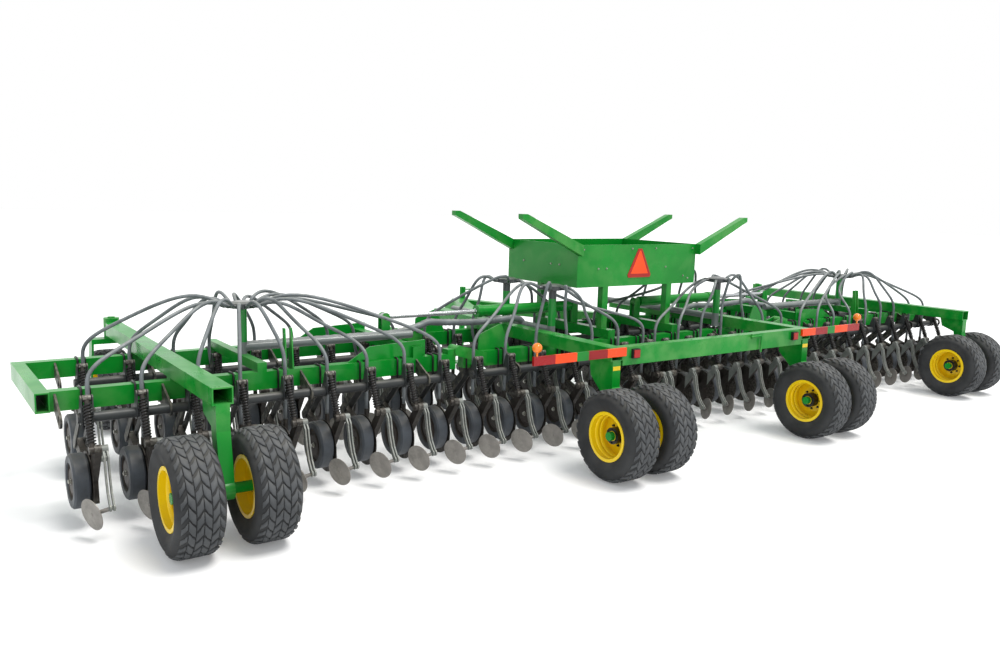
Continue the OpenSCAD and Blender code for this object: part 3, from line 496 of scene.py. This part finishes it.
# A block's half length and slant as shares of one pitch round the tyre
EDGE_REACH = 0.30
INNER_REACH = 0.42
BLOCK_SKEW = 0.30
# The bend in a block's ends: share of the slant at its middle, and how far its ends stand back
BEND_SHARE = 0.15
BEND_NOTCH = 0.006
BEND_CREST = 0.002
BLOCK_GAP = 0.008


def carcass_profile(radius, half, bead_r):
    """The carcass from bead to bead, as (along the axle, radius) pairs."""
    profile = [(-half * share, bead_r + rise) for share, rise in WALL_FOOT]
    foot_share, foot_rise = WALL_FOOT[-1]
    foot_r = bead_r + foot_rise
    round_r = radius - SHOULDER_R
    for k in range(1, WALL_STEPS):
        t = k / WALL_STEPS
        bulge = foot_share + (1 - foot_share) * math.sin(t * math.pi / 2)
        profile.append((-half * bulge, foot_r + (round_r - foot_r) * t))
    for k in range(SHOULDER_STEPS + 1):
        a = math.pi / 2 * k / SHOULDER_STEPS
        r = SHOULDER_R - TREAD_DEPTH * min(1.0, k / SINK_STEPS)
        profile.append((SHOULDER_R - half - r * math.cos(a), round_r + r * math.sin(a)))
    return profile + [(-x, r) for x, r in reversed(profile)]


def tread_point(across, angle, depth, radius, half):
    """A point on the tread at an arc length from the middle and an angle round, sunk by a depth."""
    flat = half - SHOULDER_R
    bend = max(abs(across) - flat, 0) / SHOULDER_R
    r = radius - SHOULDER_R + (SHOULDER_R - depth) * math.cos(bend)
    x = min(abs(across), flat) + (SHOULDER_R - depth) * math.sin(bend)
    return math.copysign(x, across), r * math.cos(angle), r * math.sin(angle)


def block_outline(reach, skew, half_w):
    """A slanted block with bent ends, as (across, round) in metres from its middle."""
    bend = skew * BEND_SHARE
    near = [(-half_w, -reach - skew), (0.0, -reach - bend + BEND_NOTCH), (half_w, -reach + skew)]
    far = [(half_w, reach + skew - BLOCK_GAP), (0.0, reach + bend - BEND_CREST),
           (-half_w, reach - skew - BLOCK_GAP)]
    return near + far


def add_block(tread, centre, radius, half, across, angle, outline):
    """A raised block with its middle at a place across the tread and an angle round it."""
    cx, cy, cz = centre
    points = []
    for shrink, depth in ((1.0, TREAD_DEPTH + BLOCK_ROOT), (1.0, BLOCK_CHAMFER), (BLOCK_TOP, 0.0)):
        for du, dv in outline:
            x, y, z = tread_point(across + du * shrink, angle + dv * shrink / radius, depth, radius, half)
            points.append((cx + x, cy + y, cz + z))
    n = len(outline)
    faces = [tuple(range(2 * n, 3 * n))]
    for ring in (0, n):
        faces += [(ring + k, ring + (k + 1) % n, ring + n + (k + 1) % n, ring + n + k) for k in range(n)]
    tread.add(points, faces)


def add_tread(tread, centre, radius, half):
    """Columns of blocks that slant in turn, each second pair of columns half a pitch on."""
    column_w = 2 * TREAD_REACH / TREAD_COLUMNS
    pitch_a = 2 * math.pi / BLOCKS_ROUND
    length = pitch_a * radius
    for column in range(TREAD_COLUMNS):
        lean = 1 if column % 2 else -1
        at_edge = column in (0, TREAD_COLUMNS - 1)
        reach = length * (EDGE_REACH if at_edge else INNER_REACH)
        outline = block_outline(reach, lean * length * BLOCK_SKEW, column_w / 2 - GROOVE_HALF)
        across = -TREAD_REACH + (column + 0.5) * column_w
        shift = 0.5 * (column // 2 % 2)
        for k in range(BLOCKS_ROUND):
            add_block(tread, centre, radius, half, across, (k + shift) * pitch_a, outline)


# Wheels

WHEEL_SETS = [f"{side}_{kind}" for side in SIDES for kind in ("centre", "wing")]
TWIN = {"centre": 0.480, "wing": 0.535}
# Rim and hub, along the axle from the wheel's middle
DISC_FACE = -0.026
DISC_BACK = -0.040
HUB_END = 0.062
HUB_R = 0.076
HUB_BORE_R = 0.046
HUB_SEGMENTS = 32
RIM_R = 0.212
RIM_SEGMENTS = 48
# Steps in the rim: place, outer radius, inner radius
RIM_STEPS = ((0.085, 0.2, 0.194), (0.035, 0.194, 0.186))
STEP_ROUND = 0.004
STEP_DEEP = 0.03
STEP_TAPER = 0.002
# Bolts: number, radius of their circle, and each one's width and height
NUTS = 8
NUT_CIRCLE = 0.1
NUT = (0.017, 0.022)
STUD = (0.014, 0.014)
HUB_BOLTS = 6
HUB_CIRCLE = 0.061
HUB_BOLT = (0.011, 0.012)


def wheel_places(name):
    """Each tyre's middle on one axle, with the way its rim faces along X."""
    side, kind = name.split("_")
    if kind == "caster":
        return [(Vector(JOINTS[f"{name}_spin"]["pos_m"]), SIDES[side])]
    middle = Vector(JOINTS[f"{name}_wheels_spin"]["pos_m"])
    return [(middle + Vector((out * TWIN[kind] / 2, 0, 0)), out) for out in (-1, 1)]


def round_axle(centre, along, circle, count, turn=0.0):
    """Places evenly round an axle, started at a share of one step."""
    for k in range(count):
        a = 2 * math.pi * (k + turn) / count
        yield centre + Vector((along, circle * math.cos(a), circle * math.sin(a)))


def add_nuts(nuts, centre, out):
    """Wheel nuts with their studs' heads behind the disc, and the dark hub with its bolts."""
    facing = (out, 0, 0)
    for spot in round_axle(centre, 0, NUT_CIRCLE, NUTS):
        nuts.bolt(spot + Vector((out * DISC_FACE, 0, 0)), facing, *NUT)
        nuts.bolt(spot + Vector((out * DISC_BACK, 0, 0)), (-out, 0, 0), *STUD)
    sleeve = [(DISC_FACE, HUB_R), (HUB_END, HUB_R), (HUB_END, HUB_BORE_R)]
    nuts.lathe(centre, facing, sleeve, HUB_SEGMENTS)
    for spot in round_axle(centre, out * HUB_END, HUB_CIRCLE, HUB_BOLTS, 0.5):
        nuts.bolt(spot, facing, *HUB_BOLT)


def dress_wheel(name, body, tyre_node):
    low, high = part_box(tyre_node)
    places = wheel_places(name)
    radius = (high[2] - low[2]) / 2
    half = (high[0] - low[0] - (places[-1][0].x - places[0][0].x)) / 2
    tyre, tread, nuts, steps = Builder(), Builder(), Builder(), Builder()
    for centre, out in places:
        tyre.lathe(centre, (1, 0, 0), carcass_profile(radius, half, RIM_R), TYRE_SEGMENTS)
        add_tread(tread, centre, radius, half)
        add_nuts(nuts, centre, out)
        for x, outer, inner in RIM_STEPS:
            step = [(x, outer), (x, inner + STEP_ROUND), (x - STEP_ROUND, inner),
                    (x - STEP_DEEP, inner - STEP_TAPER)]
            steps.lathe(centre, (out, 0, 0), step, RIM_SEGMENTS)
    place(tyre.piece(f"{name}_road_tyres", RUBBER), body, "tyre", tyre_node)
    place(tread.piece(f"{name}_tread_blocks", TREAD), body, "tyre")
    place(nuts.piece(f"{name}_wheel_nuts", SPRING, smooth=False), body, "rim")
    place(steps.piece(f"{name}_rim_steps", YELLOW), body, "rim")


for name in WHEEL_SETS:
    dress_wheel(name, f"{name}_wheels", f"{name}_tyres")
for side in SIDES:
    dress_wheel(f"{side}_caster", f"{side}_caster_wheel", f"{side}_caster_tyre")


# Openers: coil springs round their rods and the gauge wheels' bolts

COIL_R = 0.027
COIL_WIRE = 0.0068
COIL_TURNS = 13
COIL_POINTS = 12
COIL_SIDES = 5
SPRING_SEAT = 0.045
GAUGE_BOLT = (0.03, 0.022)


def add_coil(build, low, high):
    axis = (high - low).normalized()
    side = Vector((1, 0, 0))
    other = axis.cross(side)
    steps = COIL_TURNS * COIL_POINTS
    path = []
    for k in range(steps + 1):
        a = 2 * math.pi * k / COIL_POINTS
        path.append(low + (high - low) * (k / steps) + COIL_R * (math.cos(a) * side + math.sin(a) * other))
    build.tube(path, COIL_WIRE, COIL_SIDES)


def dress_openers(section, rank):
    pivot = LIFT_PIVOT[section, rank]
    springs, bolts = Builder(), Builder()
    for x, hand in opener_places(section, rank):
        low = on_opener(pivot, x + hand * SPRING_X, KNUCKLE)
        high = on_opener(pivot, x + hand * SPRING_X, SPRING_TOP)
        seat = (high - low).normalized() * SPRING_SEAT
        add_coil(springs, low + seat, high - seat)
        bolts.bolt(on_opener(pivot, x + hand * GAUGE_FACE_X, GAUGE_HUB), (-hand, 0, 0), *GAUGE_BOLT)
    gang = f"{section}_{rank}_gang"
    place(springs.piece(f"{section}_{rank}_coil_springs", SPRING), gang, "opener")
    place(bolts.piece(f"{section}_{rank}_gauge_bolts", ZINC, smooth=False), gang, "opener")


for section in SECTIONS:
    for rank in RANKS:
        dress_openers(section, rank)


# Seed hoses: from each tower's head over to a drop at the cross tube, and down to the opener

HOSE_R = 0.016
HOSE_SIDES = 10
HEAD_HALF = 0.035
OUTLET_R = 0.1653
DROP_CLEAR = 0.045
DROP_Z = CROSS_TOP + DROP_CLEAR
# How far a hose runs straight out, and the distance from which it does so fully
HOSE_REACH = 0.300
FULL_REACH_AT = 0.600
# Hoses whose drop is nearer the middle than this stay under the wing rest
UNDER_REST_X = REST_SIDE_X + HOSE_REACH / 2
UNDER_LIFT = -0.120
UNDER_Z = 1.330
# The other hoses arch in three tiers: rise at the outlet, heights at two shares of the way
TIERS = 3
ARCH_LIFT = 0.150
ARCH_LIFT_STEP = 0.045
ARCH_Z = 1.400
ARCH_Z_STEP = 0.040
FAR_Z = 1.250
FAR_Z_STEP = 0.020
ARCH_SHARE = 0.45
FAR_SHARE = 0.8
DROP_RISE = 0.220
FALL = 0.18
ARCH_POINTS = 28
FALL_POINTS = 10
# Lengthwise beams that a hose comes down beside: middle and width
BEAMS = {"centre rail and tower": (1.3865, 0.269), "wing rail": (5.120, 0.150),
         "tower beam": (WING_TOWER_X, 0.080), "wing stringer": (2.950, 0.100)}
BEAM_CLEAR = 0.024
# Rear hoses of a wing that come down between these X keep forward of the rest arm that the folded wing meets
REST_ARM_X = (3.4, 4.0)
REST_ARM_DETOUR = (0.250, 0.350, 0.050)
# Distribution towers: X, Y from the rear axle, height of the head, ranks fed
TOWERS = {"wing": [(WING_TOWER_X, 1.880, 1.480, ("rear", "front"))],
          "centre": [(1.290, 1.480, 1.560, ("rear",)), (1.290, 2.300, 1.560, ("front",))]}


def beside_beams(x):
    """X moved clear of any beam that it would meet."""
    for beam, wide in BEAMS.values():
        room = wide / 2 + HOSE_R + BEAM_CLEAR
        if abs(abs(x) - beam) < room:
            x = math.copysign(beam + math.copysign(room, abs(x) - beam), x)
    return x


def bezier(points, steps):
    """Points along one Bezier curve with any number of handles."""
    n = len(points) - 1
    for k in range(steps + 1):
        t = k / steps
        weights = [math.comb(n, i) * (1 - t) ** (n - i) * t ** i for i in range(n + 1)]
        yield sum((w * p for w, p in zip(weights, points)), Vector((0, 0, 0)))


def upward(z):
    return Vector((0, 0, z))


def hose_route(head, out, tier, drop, inlet):
    """A hose that leaves the head along out, arches over to its drop and falls to its inlet."""
    foot = Vector((head.x, head.y, 0))
    way = Vector((drop.x - head.x, drop.y - head.y, 0))
    reach = out * HOSE_REACH * min(1, way.length / FULL_REACH_AT)
    under_rest = abs(drop.x) < UNDER_REST_X
    lift = UNDER_LIFT if under_rest else ARCH_LIFT + tier * ARCH_LIFT_STEP
    arch_z = UNDER_Z if under_rest else ARCH_Z + tier * ARCH_Z_STEP
    meets_arm = REST_ARM_X[0] < abs(drop.x) < REST_ARM_X[1] and drop.y < head.y
    aside = [Vector((0, d, 0)) * meets_arm for d in REST_ARM_DETOUR]
    start = head + out * OUTLET_R
    arch = [start, start + reach + upward(lift),
            foot + way * ARCH_SHARE + reach / 2 + upward(arch_z) + aside[0],
            foot + way * FAR_SHARE + upward(FAR_Z + tier * FAR_Z_STEP) + aside[1],
            drop + upward(DROP_RISE) + aside[2], drop]
    fall = [drop, drop - upward(FALL), inlet + upward(FALL), inlet]
    return list(bezier(arch, ARCH_POINTS)) + list(bezier(fall, FALL_POINTS))[1:]


def fan_routes(head, inlets):
    """One hose path per inlet, with the outlets in the order of their targets' directions."""
    side = -1 if head.x > 0 else 1
    drops = [Vector((beside_beams(p.x), p.y, DROP_Z)) for p in inlets]
    bearings = [math.atan2(d.y - head.y, side * (d.x - head.x)) for d in drops]
    order = [sum(other < b for other in bearings) for b in bearings]
    step = 2 * math.pi / len(drops)
    turn = sum(b - o * step for b, o in zip(bearings, order)) / len(drops)
    for drop, inlet, o in zip(drops, inlets, order):
        out = Vector((math.cos(turn + o * step) * side, math.sin(turn + o * step), 0))
        yield hose_route(head, out, o % TIERS, drop, inlet)


def add_seed_hoses(section):
    hoses = {rank: Builder() for rank in RANKS}
    sides = SIDES.values() if section == "centre" else (SIDES[section],)
    for tower_x, tower_y, head_z, ranks in TOWERS["centre" if section == "centre" else "wing"]:
        for side in sides:
            head = Vector((side * tower_x, AXLE_Y + tower_y, head_z + HEAD_HALF))
            targets = [(rank, on_opener(LIFT_PIVOT[section, rank], x + hand * INLET_X, SEED_INLET))
                       for rank in ranks for x, hand in opener_places(section, rank) if x * side > 0]
            for (rank, _), route in zip(targets, fan_routes(head, [inlet for _, inlet in targets])):
                hoses[rank].tube(route, HOSE_R, HOSE_SIDES)
    for rank in RANKS:
        piece = hoses[rank].piece(f"{section}_{rank}_seed_hoses", HOSE)
        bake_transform(piece)
        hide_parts(section_node(section, "hoses"))


for section in SECTIONS:
    add_seed_hoses(section)


# Clamps: two U-bolts that hold each hanger to its cross tube

TUBE_BACK = -0.350
TUBE_W = 0.100
TUBE_H = 0.150
CLAMP_R = 0.009
CLAMP_SIDES = 7
CLAMP_APART = 0.06
CLAMP_BELOW = 0.03
CLAMP_BEND = 0.02
CLAMP_CORNER = 0.006
CLAMP_NUT = 0.016


def clamp_path(x, rear, front, low, top):
    """A U-bolt over the tube with bent corners."""
    back = [(rear, low), (rear, top - CLAMP_BEND), (rear + CLAMP_CORNER, top - CLAMP_CORNER),
            (rear + CLAMP_BEND, top)]
    ahead = [(rear + front - y, z) for y, z in reversed(back)]
    return [(x, y, z) for y, z in back + ahead]


def add_tube_clamps(section, rank):
    clamps = Builder()
    rear = LIFT_PIVOT[section, rank].y + TUBE_BACK - CLAMP_R
    front = rear + TUBE_W + 2 * CLAMP_R
    low = CROSS_TOP - TUBE_H - CLAMP_BELOW
    for opener_x, hand in opener_places(section, rank):
        for apart in (-CLAMP_APART / 2, CLAMP_APART / 2):
            x = opener_x + hand * INLET_X + apart
            clamps.tube(clamp_path(x, rear, front, low, CROSS_TOP + CLAMP_R), CLAMP_R, CLAMP_SIDES)
            for y in (rear, front):
                clamps.bolt((x, y, low + CLAMP_NUT), (0, 0, -1), CLAMP_NUT, CLAMP_NUT)
    place(clamps.piece(f"{section}_{rank}_tube_clamps", SPRING), section_body(section), "rockshaft")


for section in SECTIONS:
    for rank in RANKS:
        add_tube_clamps(section, rank)


# Air feed hoses, which run from a centre tower to each wing's tower and rise to their highest at the fold hinge

FEED_R = 0.034
FEED_RIB = 0.002
FEED_SIDES = 14
FEED_POINTS = 14
FEED_FROM_AXLE = 1.975
FEED_Y = AXLE_Y + FEED_FROM_AXLE
# The route as (distance from the middle plane, height), from the wing's tower inwards
FEED_ROUTE = ((4.43, 1.143), (4.0, 1.143), (3.4, 1.143), (2.9, 1.150), (2.62, 1.20), (HINGE_X, 1.235),
              (2.36, 1.225), (2.0, 1.205), (1.7, 1.205), (1.5, 1.215), (1.36, 1.205), (1.30, 1.165))


def smooth_path(points, steps):
    """One smooth curve through all the points."""
    path = []
    for k in range(len(points) - 1):
        before = points[max(k - 1, 0)]
        after = points[min(k + 2, len(points) - 1)]
        a, d = points[k], points[k + 1]
        path += list(bezier([a, a + (d - before) / 6, d - (after - a) / 6, d], steps))[:-1]
    return path


def add_feed_hose(side, sign):
    feed = Builder()
    path = smooth_path([Vector((sign * x, FEED_Y, z)) for x, z in FEED_ROUTE], FEED_POINTS)
    ribs = [FEED_R + (FEED_RIB if k % 2 else -FEED_RIB) for k in range(len(path))]
    feed.tube(path, ribs, FEED_SIDES)
    piece = feed.piece(f"{side}_feed_hose", HOSE)
    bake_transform(piece)


for side, sign in SIDES.items():
    add_feed_hose(side, sign)


# Sign and bolts on the wing rest

SIGN_LOW, SIGN_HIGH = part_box("slow_sign")
REST_BACK = SIGN_HIGH[1]
FIELD_DEEP = 0.002
# Outlines in shares of the sign's half width and its height
BORDER_OUTLINE = ((-0.93, 0.0), (0.93, 0.0), (1.0, 0.09), (0.16, 1.0), (-0.16, 1.0), (-1.0, 0.09))
FIELD_OUTLINE = ((-0.74, 0.13), (0.74, 0.13), (0.74, 0.14), (0.05, 0.93), (-0.05, 0.93), (-0.74, 0.14))
# Bolts on the rest's back as (X, Z), and on its sides as (distance from the back, Z)
REST_BOLTS = ((-0.84, 1.98), (-0.62, 1.77), (-0.5, 1.77), (-0.12, 1.985), (0.25, 1.985), (0.42, 1.77),
              (0.72, 1.66), (0.8, 1.63), (0.86, 1.98))
REST_SIDE_BOLTS = ((0.3, 1.8), (0.45, 1.8), (0.95, 1.8))
REST_BOLT = (0.014, 0.012)


def sign_plate(name, outline, front, back, material, *replaced):
    """A flat plate on the wing rest, with one of the sign's outlines."""
    half = (SIGN_HIGH[0] - SIGN_LOW[0]) / 2
    tall = SIGN_HIGH[2] - SIGN_LOW[2]
    n = len(outline)
    verts = [(x * half, y, SIGN_LOW[2] + z * tall) for y in (front, back) for x, z in outline]
    faces = [tuple(range(n)), tuple(reversed(range(n, 2 * n)))]
    faces += [(n + k, n + (k + 1) % n, (k + 1) % n, k) for k in range(n)]
    place(new_piece(name, verts, faces, material, smooth=False), "centre_section", "sign", *replaced)


def add_rest_bolts():
    bolts = Builder()
    for x, z in REST_BOLTS:
        bolts.bolt((x, REST_BACK, z), (0, -1, 0), *REST_BOLT)
    for sign in SIDES.values():
        for y, z in REST_SIDE_BOLTS:
            bolts.bolt((sign * REST_SIDE_X, REST_BACK + y, z), (sign, 0, 0), *REST_BOLT)
    place(bolts.piece("rest_bolts", ZINC, smooth=False), "centre_section", "rod")


sign_plate("sign_border", BORDER_OUTLINE, SIGN_LOW[1], SIGN_HIGH[1], TAPE_RED, "slow_sign")
sign_plate("sign_field", FIELD_OUTLINE, SIGN_LOW[1] - FIELD_DEEP, SIGN_LOW[1], SIGN)
add_rest_bolts()


# Tail lamps and lock handle on the rear crossbar, reflector strips on the rails' ends

CROSS_LOW, CROSS_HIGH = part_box("rear_crossbar")
CROSS_BACK = CROSS_LOW[1]
LAMP_X = 1.22
LAMP_RISE = 0.02
LAMP_Z = (CROSS_LOW[2] + CROSS_HIGH[2]) / 2 + LAMP_RISE
LAMP_HALF = 0.045
LAMP_DEEP = 0.03
LENS_BORDER = 0.008
LENS_HALF = LAMP_HALF - LENS_BORDER
LENS_DEEP = 0.006
RAIL_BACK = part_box("centre_rails")[0][1]
STRIP_X = (1.401, 1.491)
STRIP_Z = (0.935, 0.975)
STRIP_T = 0.002
HANDLE_X = 0.55
HANDLE_R = 0.01
HANDLE_SIDES = 10
HANDLE_OUT = 0.022
# The handle's bent rod as (X from its middle, depth below the crossbar's top), and its plate
HANDLE_RUN = ((-0.09, 0.025), (0.07, 0.025), (0.085, 0.04), (0.085, 0.2))
PLATE_HALF = 0.06
PLATE_T = 0.012
PLATE_H = 0.05


def add_tail_lamps():
    shells, lenses = Builder(), Builder()
    face = CROSS_BACK - LAMP_DEEP
    for sign in SIDES.values():
        x = sign * LAMP_X
        for build, half, back, front in ((shells, LAMP_HALF, face, CROSS_BACK),
                                         (lenses, LENS_HALF, face - LENS_DEEP, face)):
            build.box((x - half, back, LAMP_Z - half), (x + half, front, LAMP_Z + half))
    place(shells.piece("tail_lamp_shells", BLACK, smooth=False), "centre_section", "lamp")
    place(lenses.piece("tail_lamp_lenses", TAPE_RED, smooth=False), "centre_section", "lamp")


def add_reflector_strips():
    strips = Builder()
    for sign in SIDES.values():
        x0, x1 = sorted(sign * x for x in STRIP_X)
        strips.box((x0, RAIL_BACK - STRIP_T, STRIP_Z[0]), (x1, RAIL_BACK, STRIP_Z[1]))
    place(strips.piece("reflector_strips", YELLOW, smooth=False), "centre_section", "tape")


def add_lock_handle():
    handle = Builder()
    top = CROSS_HIGH[2]
    handle.box((HANDLE_X - PLATE_HALF, CROSS_BACK - PLATE_T, top - PLATE_H),
               (HANDLE_X + PLATE_HALF, CROSS_BACK, top))
    rod = [(HANDLE_X + x, CROSS_BACK - HANDLE_OUT, top - z) for x, z in HANDLE_RUN]
    handle.tube(rod, HANDLE_R, HANDLE_SIDES)
    place(handle.piece("lock_handle", GREEN, smooth=False), "centre_section", "paint")


add_tail_lamps()
add_reflector_strips()
add_lock_handle()


# Camera, floor and light

SKY_COLOUR = (0.93, 0.97, 1.0, 1)
SKY_STRENGTH = 0.64
FLOOR_HALF = 90.0
FLOOR_TONE = (0.8, 0.8, 0.8, 1)
FLOOR_GLOW = 0.16
# Suns: direction, strength, spread in degrees, colour
KEY_SUN = ((-0.3, 0.3, -1.0), 3.1, 30.0, (1.0, 0.98, 0.95))
FILL_SUN = ((0.8, 0.9, -0.45), 0.7, 60.0, (0.95, 0.97, 1.0))


def add_camera():
    camera = bpy.data.objects.new("photo_camera", bpy.data.cameras.new("photo_camera"))
    bpy.context.scene.collection.objects.link(camera)
    camera.data.sensor_width = SENSOR_W
    camera.data.lens = SENSOR_W * FOCAL_PX / IMAGE_W
    camera.data.clip_end = CAMERA_CLIP
    flat = math.cos(CAMERA_PITCH)
    forward = Vector((math.sin(CAMERA_YAW) * flat, math.cos(CAMERA_YAW) * flat, -math.sin(CAMERA_PITCH)))
    right = Vector((math.cos(CAMERA_YAW), -math.sin(CAMERA_YAW), 0))
    up = right.cross(forward)
    level, lean = math.cos(CAMERA_ROLL), math.sin(CAMERA_ROLL)
    across = right * level + up * lean
    above = up * level - right * lean
    where = CAMERA_FROM_AXLE + Vector((0, AXLE_Y, 0))
    rows = [(across[i], above[i], -forward[i], where[i]) for i in range(3)]
    camera.matrix_world = Matrix(rows + [(0, 0, 0, 1)])
    bpy.context.scene.camera = camera


def add_sun(name, direction, strength, spread, colour):
    light = bpy.data.objects.new(name, bpy.data.lights.new(name, "SUN"))
    bpy.context.scene.collection.objects.link(light)
    light.data.energy = strength
    light.data.angle = math.radians(spread)
    light.data.color = colour
    light.rotation_euler = Vector(direction).to_track_quat("-Z", "Y").to_euler()
    return light


def seen_straight(nodes, links):
    """1 for rays from the camera, a mirror or glass, 0 for light that bounces."""
    path = nodes.new("ShaderNodeLightPath")
    total = path.outputs["Is Camera Ray"]
    for name in ("Is Glossy Ray", "Is Transmission Ray"):
        either = nodes.new("ShaderNodeMath")
        either.operation = "MAXIMUM"
        links.new(total, either.inputs[0])
        links.new(path.outputs[name], either.inputs[1])
        total = either.outputs["Value"]
    return total


def add_world():
    """White where it is seen, and a dimmer sky for the light that it sheds."""
    world = bpy.data.worlds.new("studio")
    bpy.context.scene.world = world
    world.use_nodes = True
    nodes, links = world.node_tree.nodes, world.node_tree.links
    seen = nodes["Background"]
    seen.inputs["Color"].default_value = (1, 1, 1, 1)
    seen.inputs["Strength"].default_value = 1.0
    sky = nodes.new("ShaderNodeBackground")
    sky.inputs["Color"].default_value = SKY_COLOUR
    sky.inputs["Strength"].default_value = SKY_STRENGTH
    mix = nodes.new("ShaderNodeMixShader")
    links.new(seen_straight(nodes, links), mix.inputs["Fac"])
    links.new(sky.outputs["Background"], mix.inputs[1])
    links.new(seen.outputs["Background"], mix.inputs[2])
    links.new(mix.outputs["Shader"], nodes["World Output"].inputs["Surface"])


def floor_material():
    """A matt floor that takes shadows, with a glow that only the camera sees."""
    material = bpy.data.materials.new("white floor")
    material.use_nodes = True
    nodes, links = material.node_tree.nodes, material.node_tree.links
    nodes.remove(nodes["Principled BSDF"])
    matt = nodes.new("ShaderNodeBsdfDiffuse")
    matt.inputs["Color"].default_value = FLOOR_TONE
    glow = nodes.new("ShaderNodeEmission")
    glow.inputs["Strength"].default_value = FLOOR_GLOW
    both = nodes.new("ShaderNodeAddShader")
    links.new(matt.outputs[0], both.inputs[0])
    links.new(glow.outputs[0], both.inputs[1])
    mix = nodes.new("ShaderNodeMixShader")
    links.new(seen_straight(nodes, links), mix.inputs["Fac"])
    links.new(matt.outputs[0], mix.inputs[1])
    links.new(both.outputs[0], mix.inputs[2])
    links.new(mix.outputs[0], nodes["Material Output"].inputs["Surface"])
    return material


def add_floor():
    half = FLOOR_HALF
    corners = [(-half, -half, 0), (half, -half, 0), (half, half, 0), (-half, half, 0)]
    new_piece("floor", corners, [(0, 1, 2, 3)], floor_material(), smooth=False)


add_camera()
add_world()
add_floor()
add_sun("key", *KEY_SUN)
add_sun("fill", *FILL_SUN)
bpy.context.scene.view_settings.view_transform = "Standard"
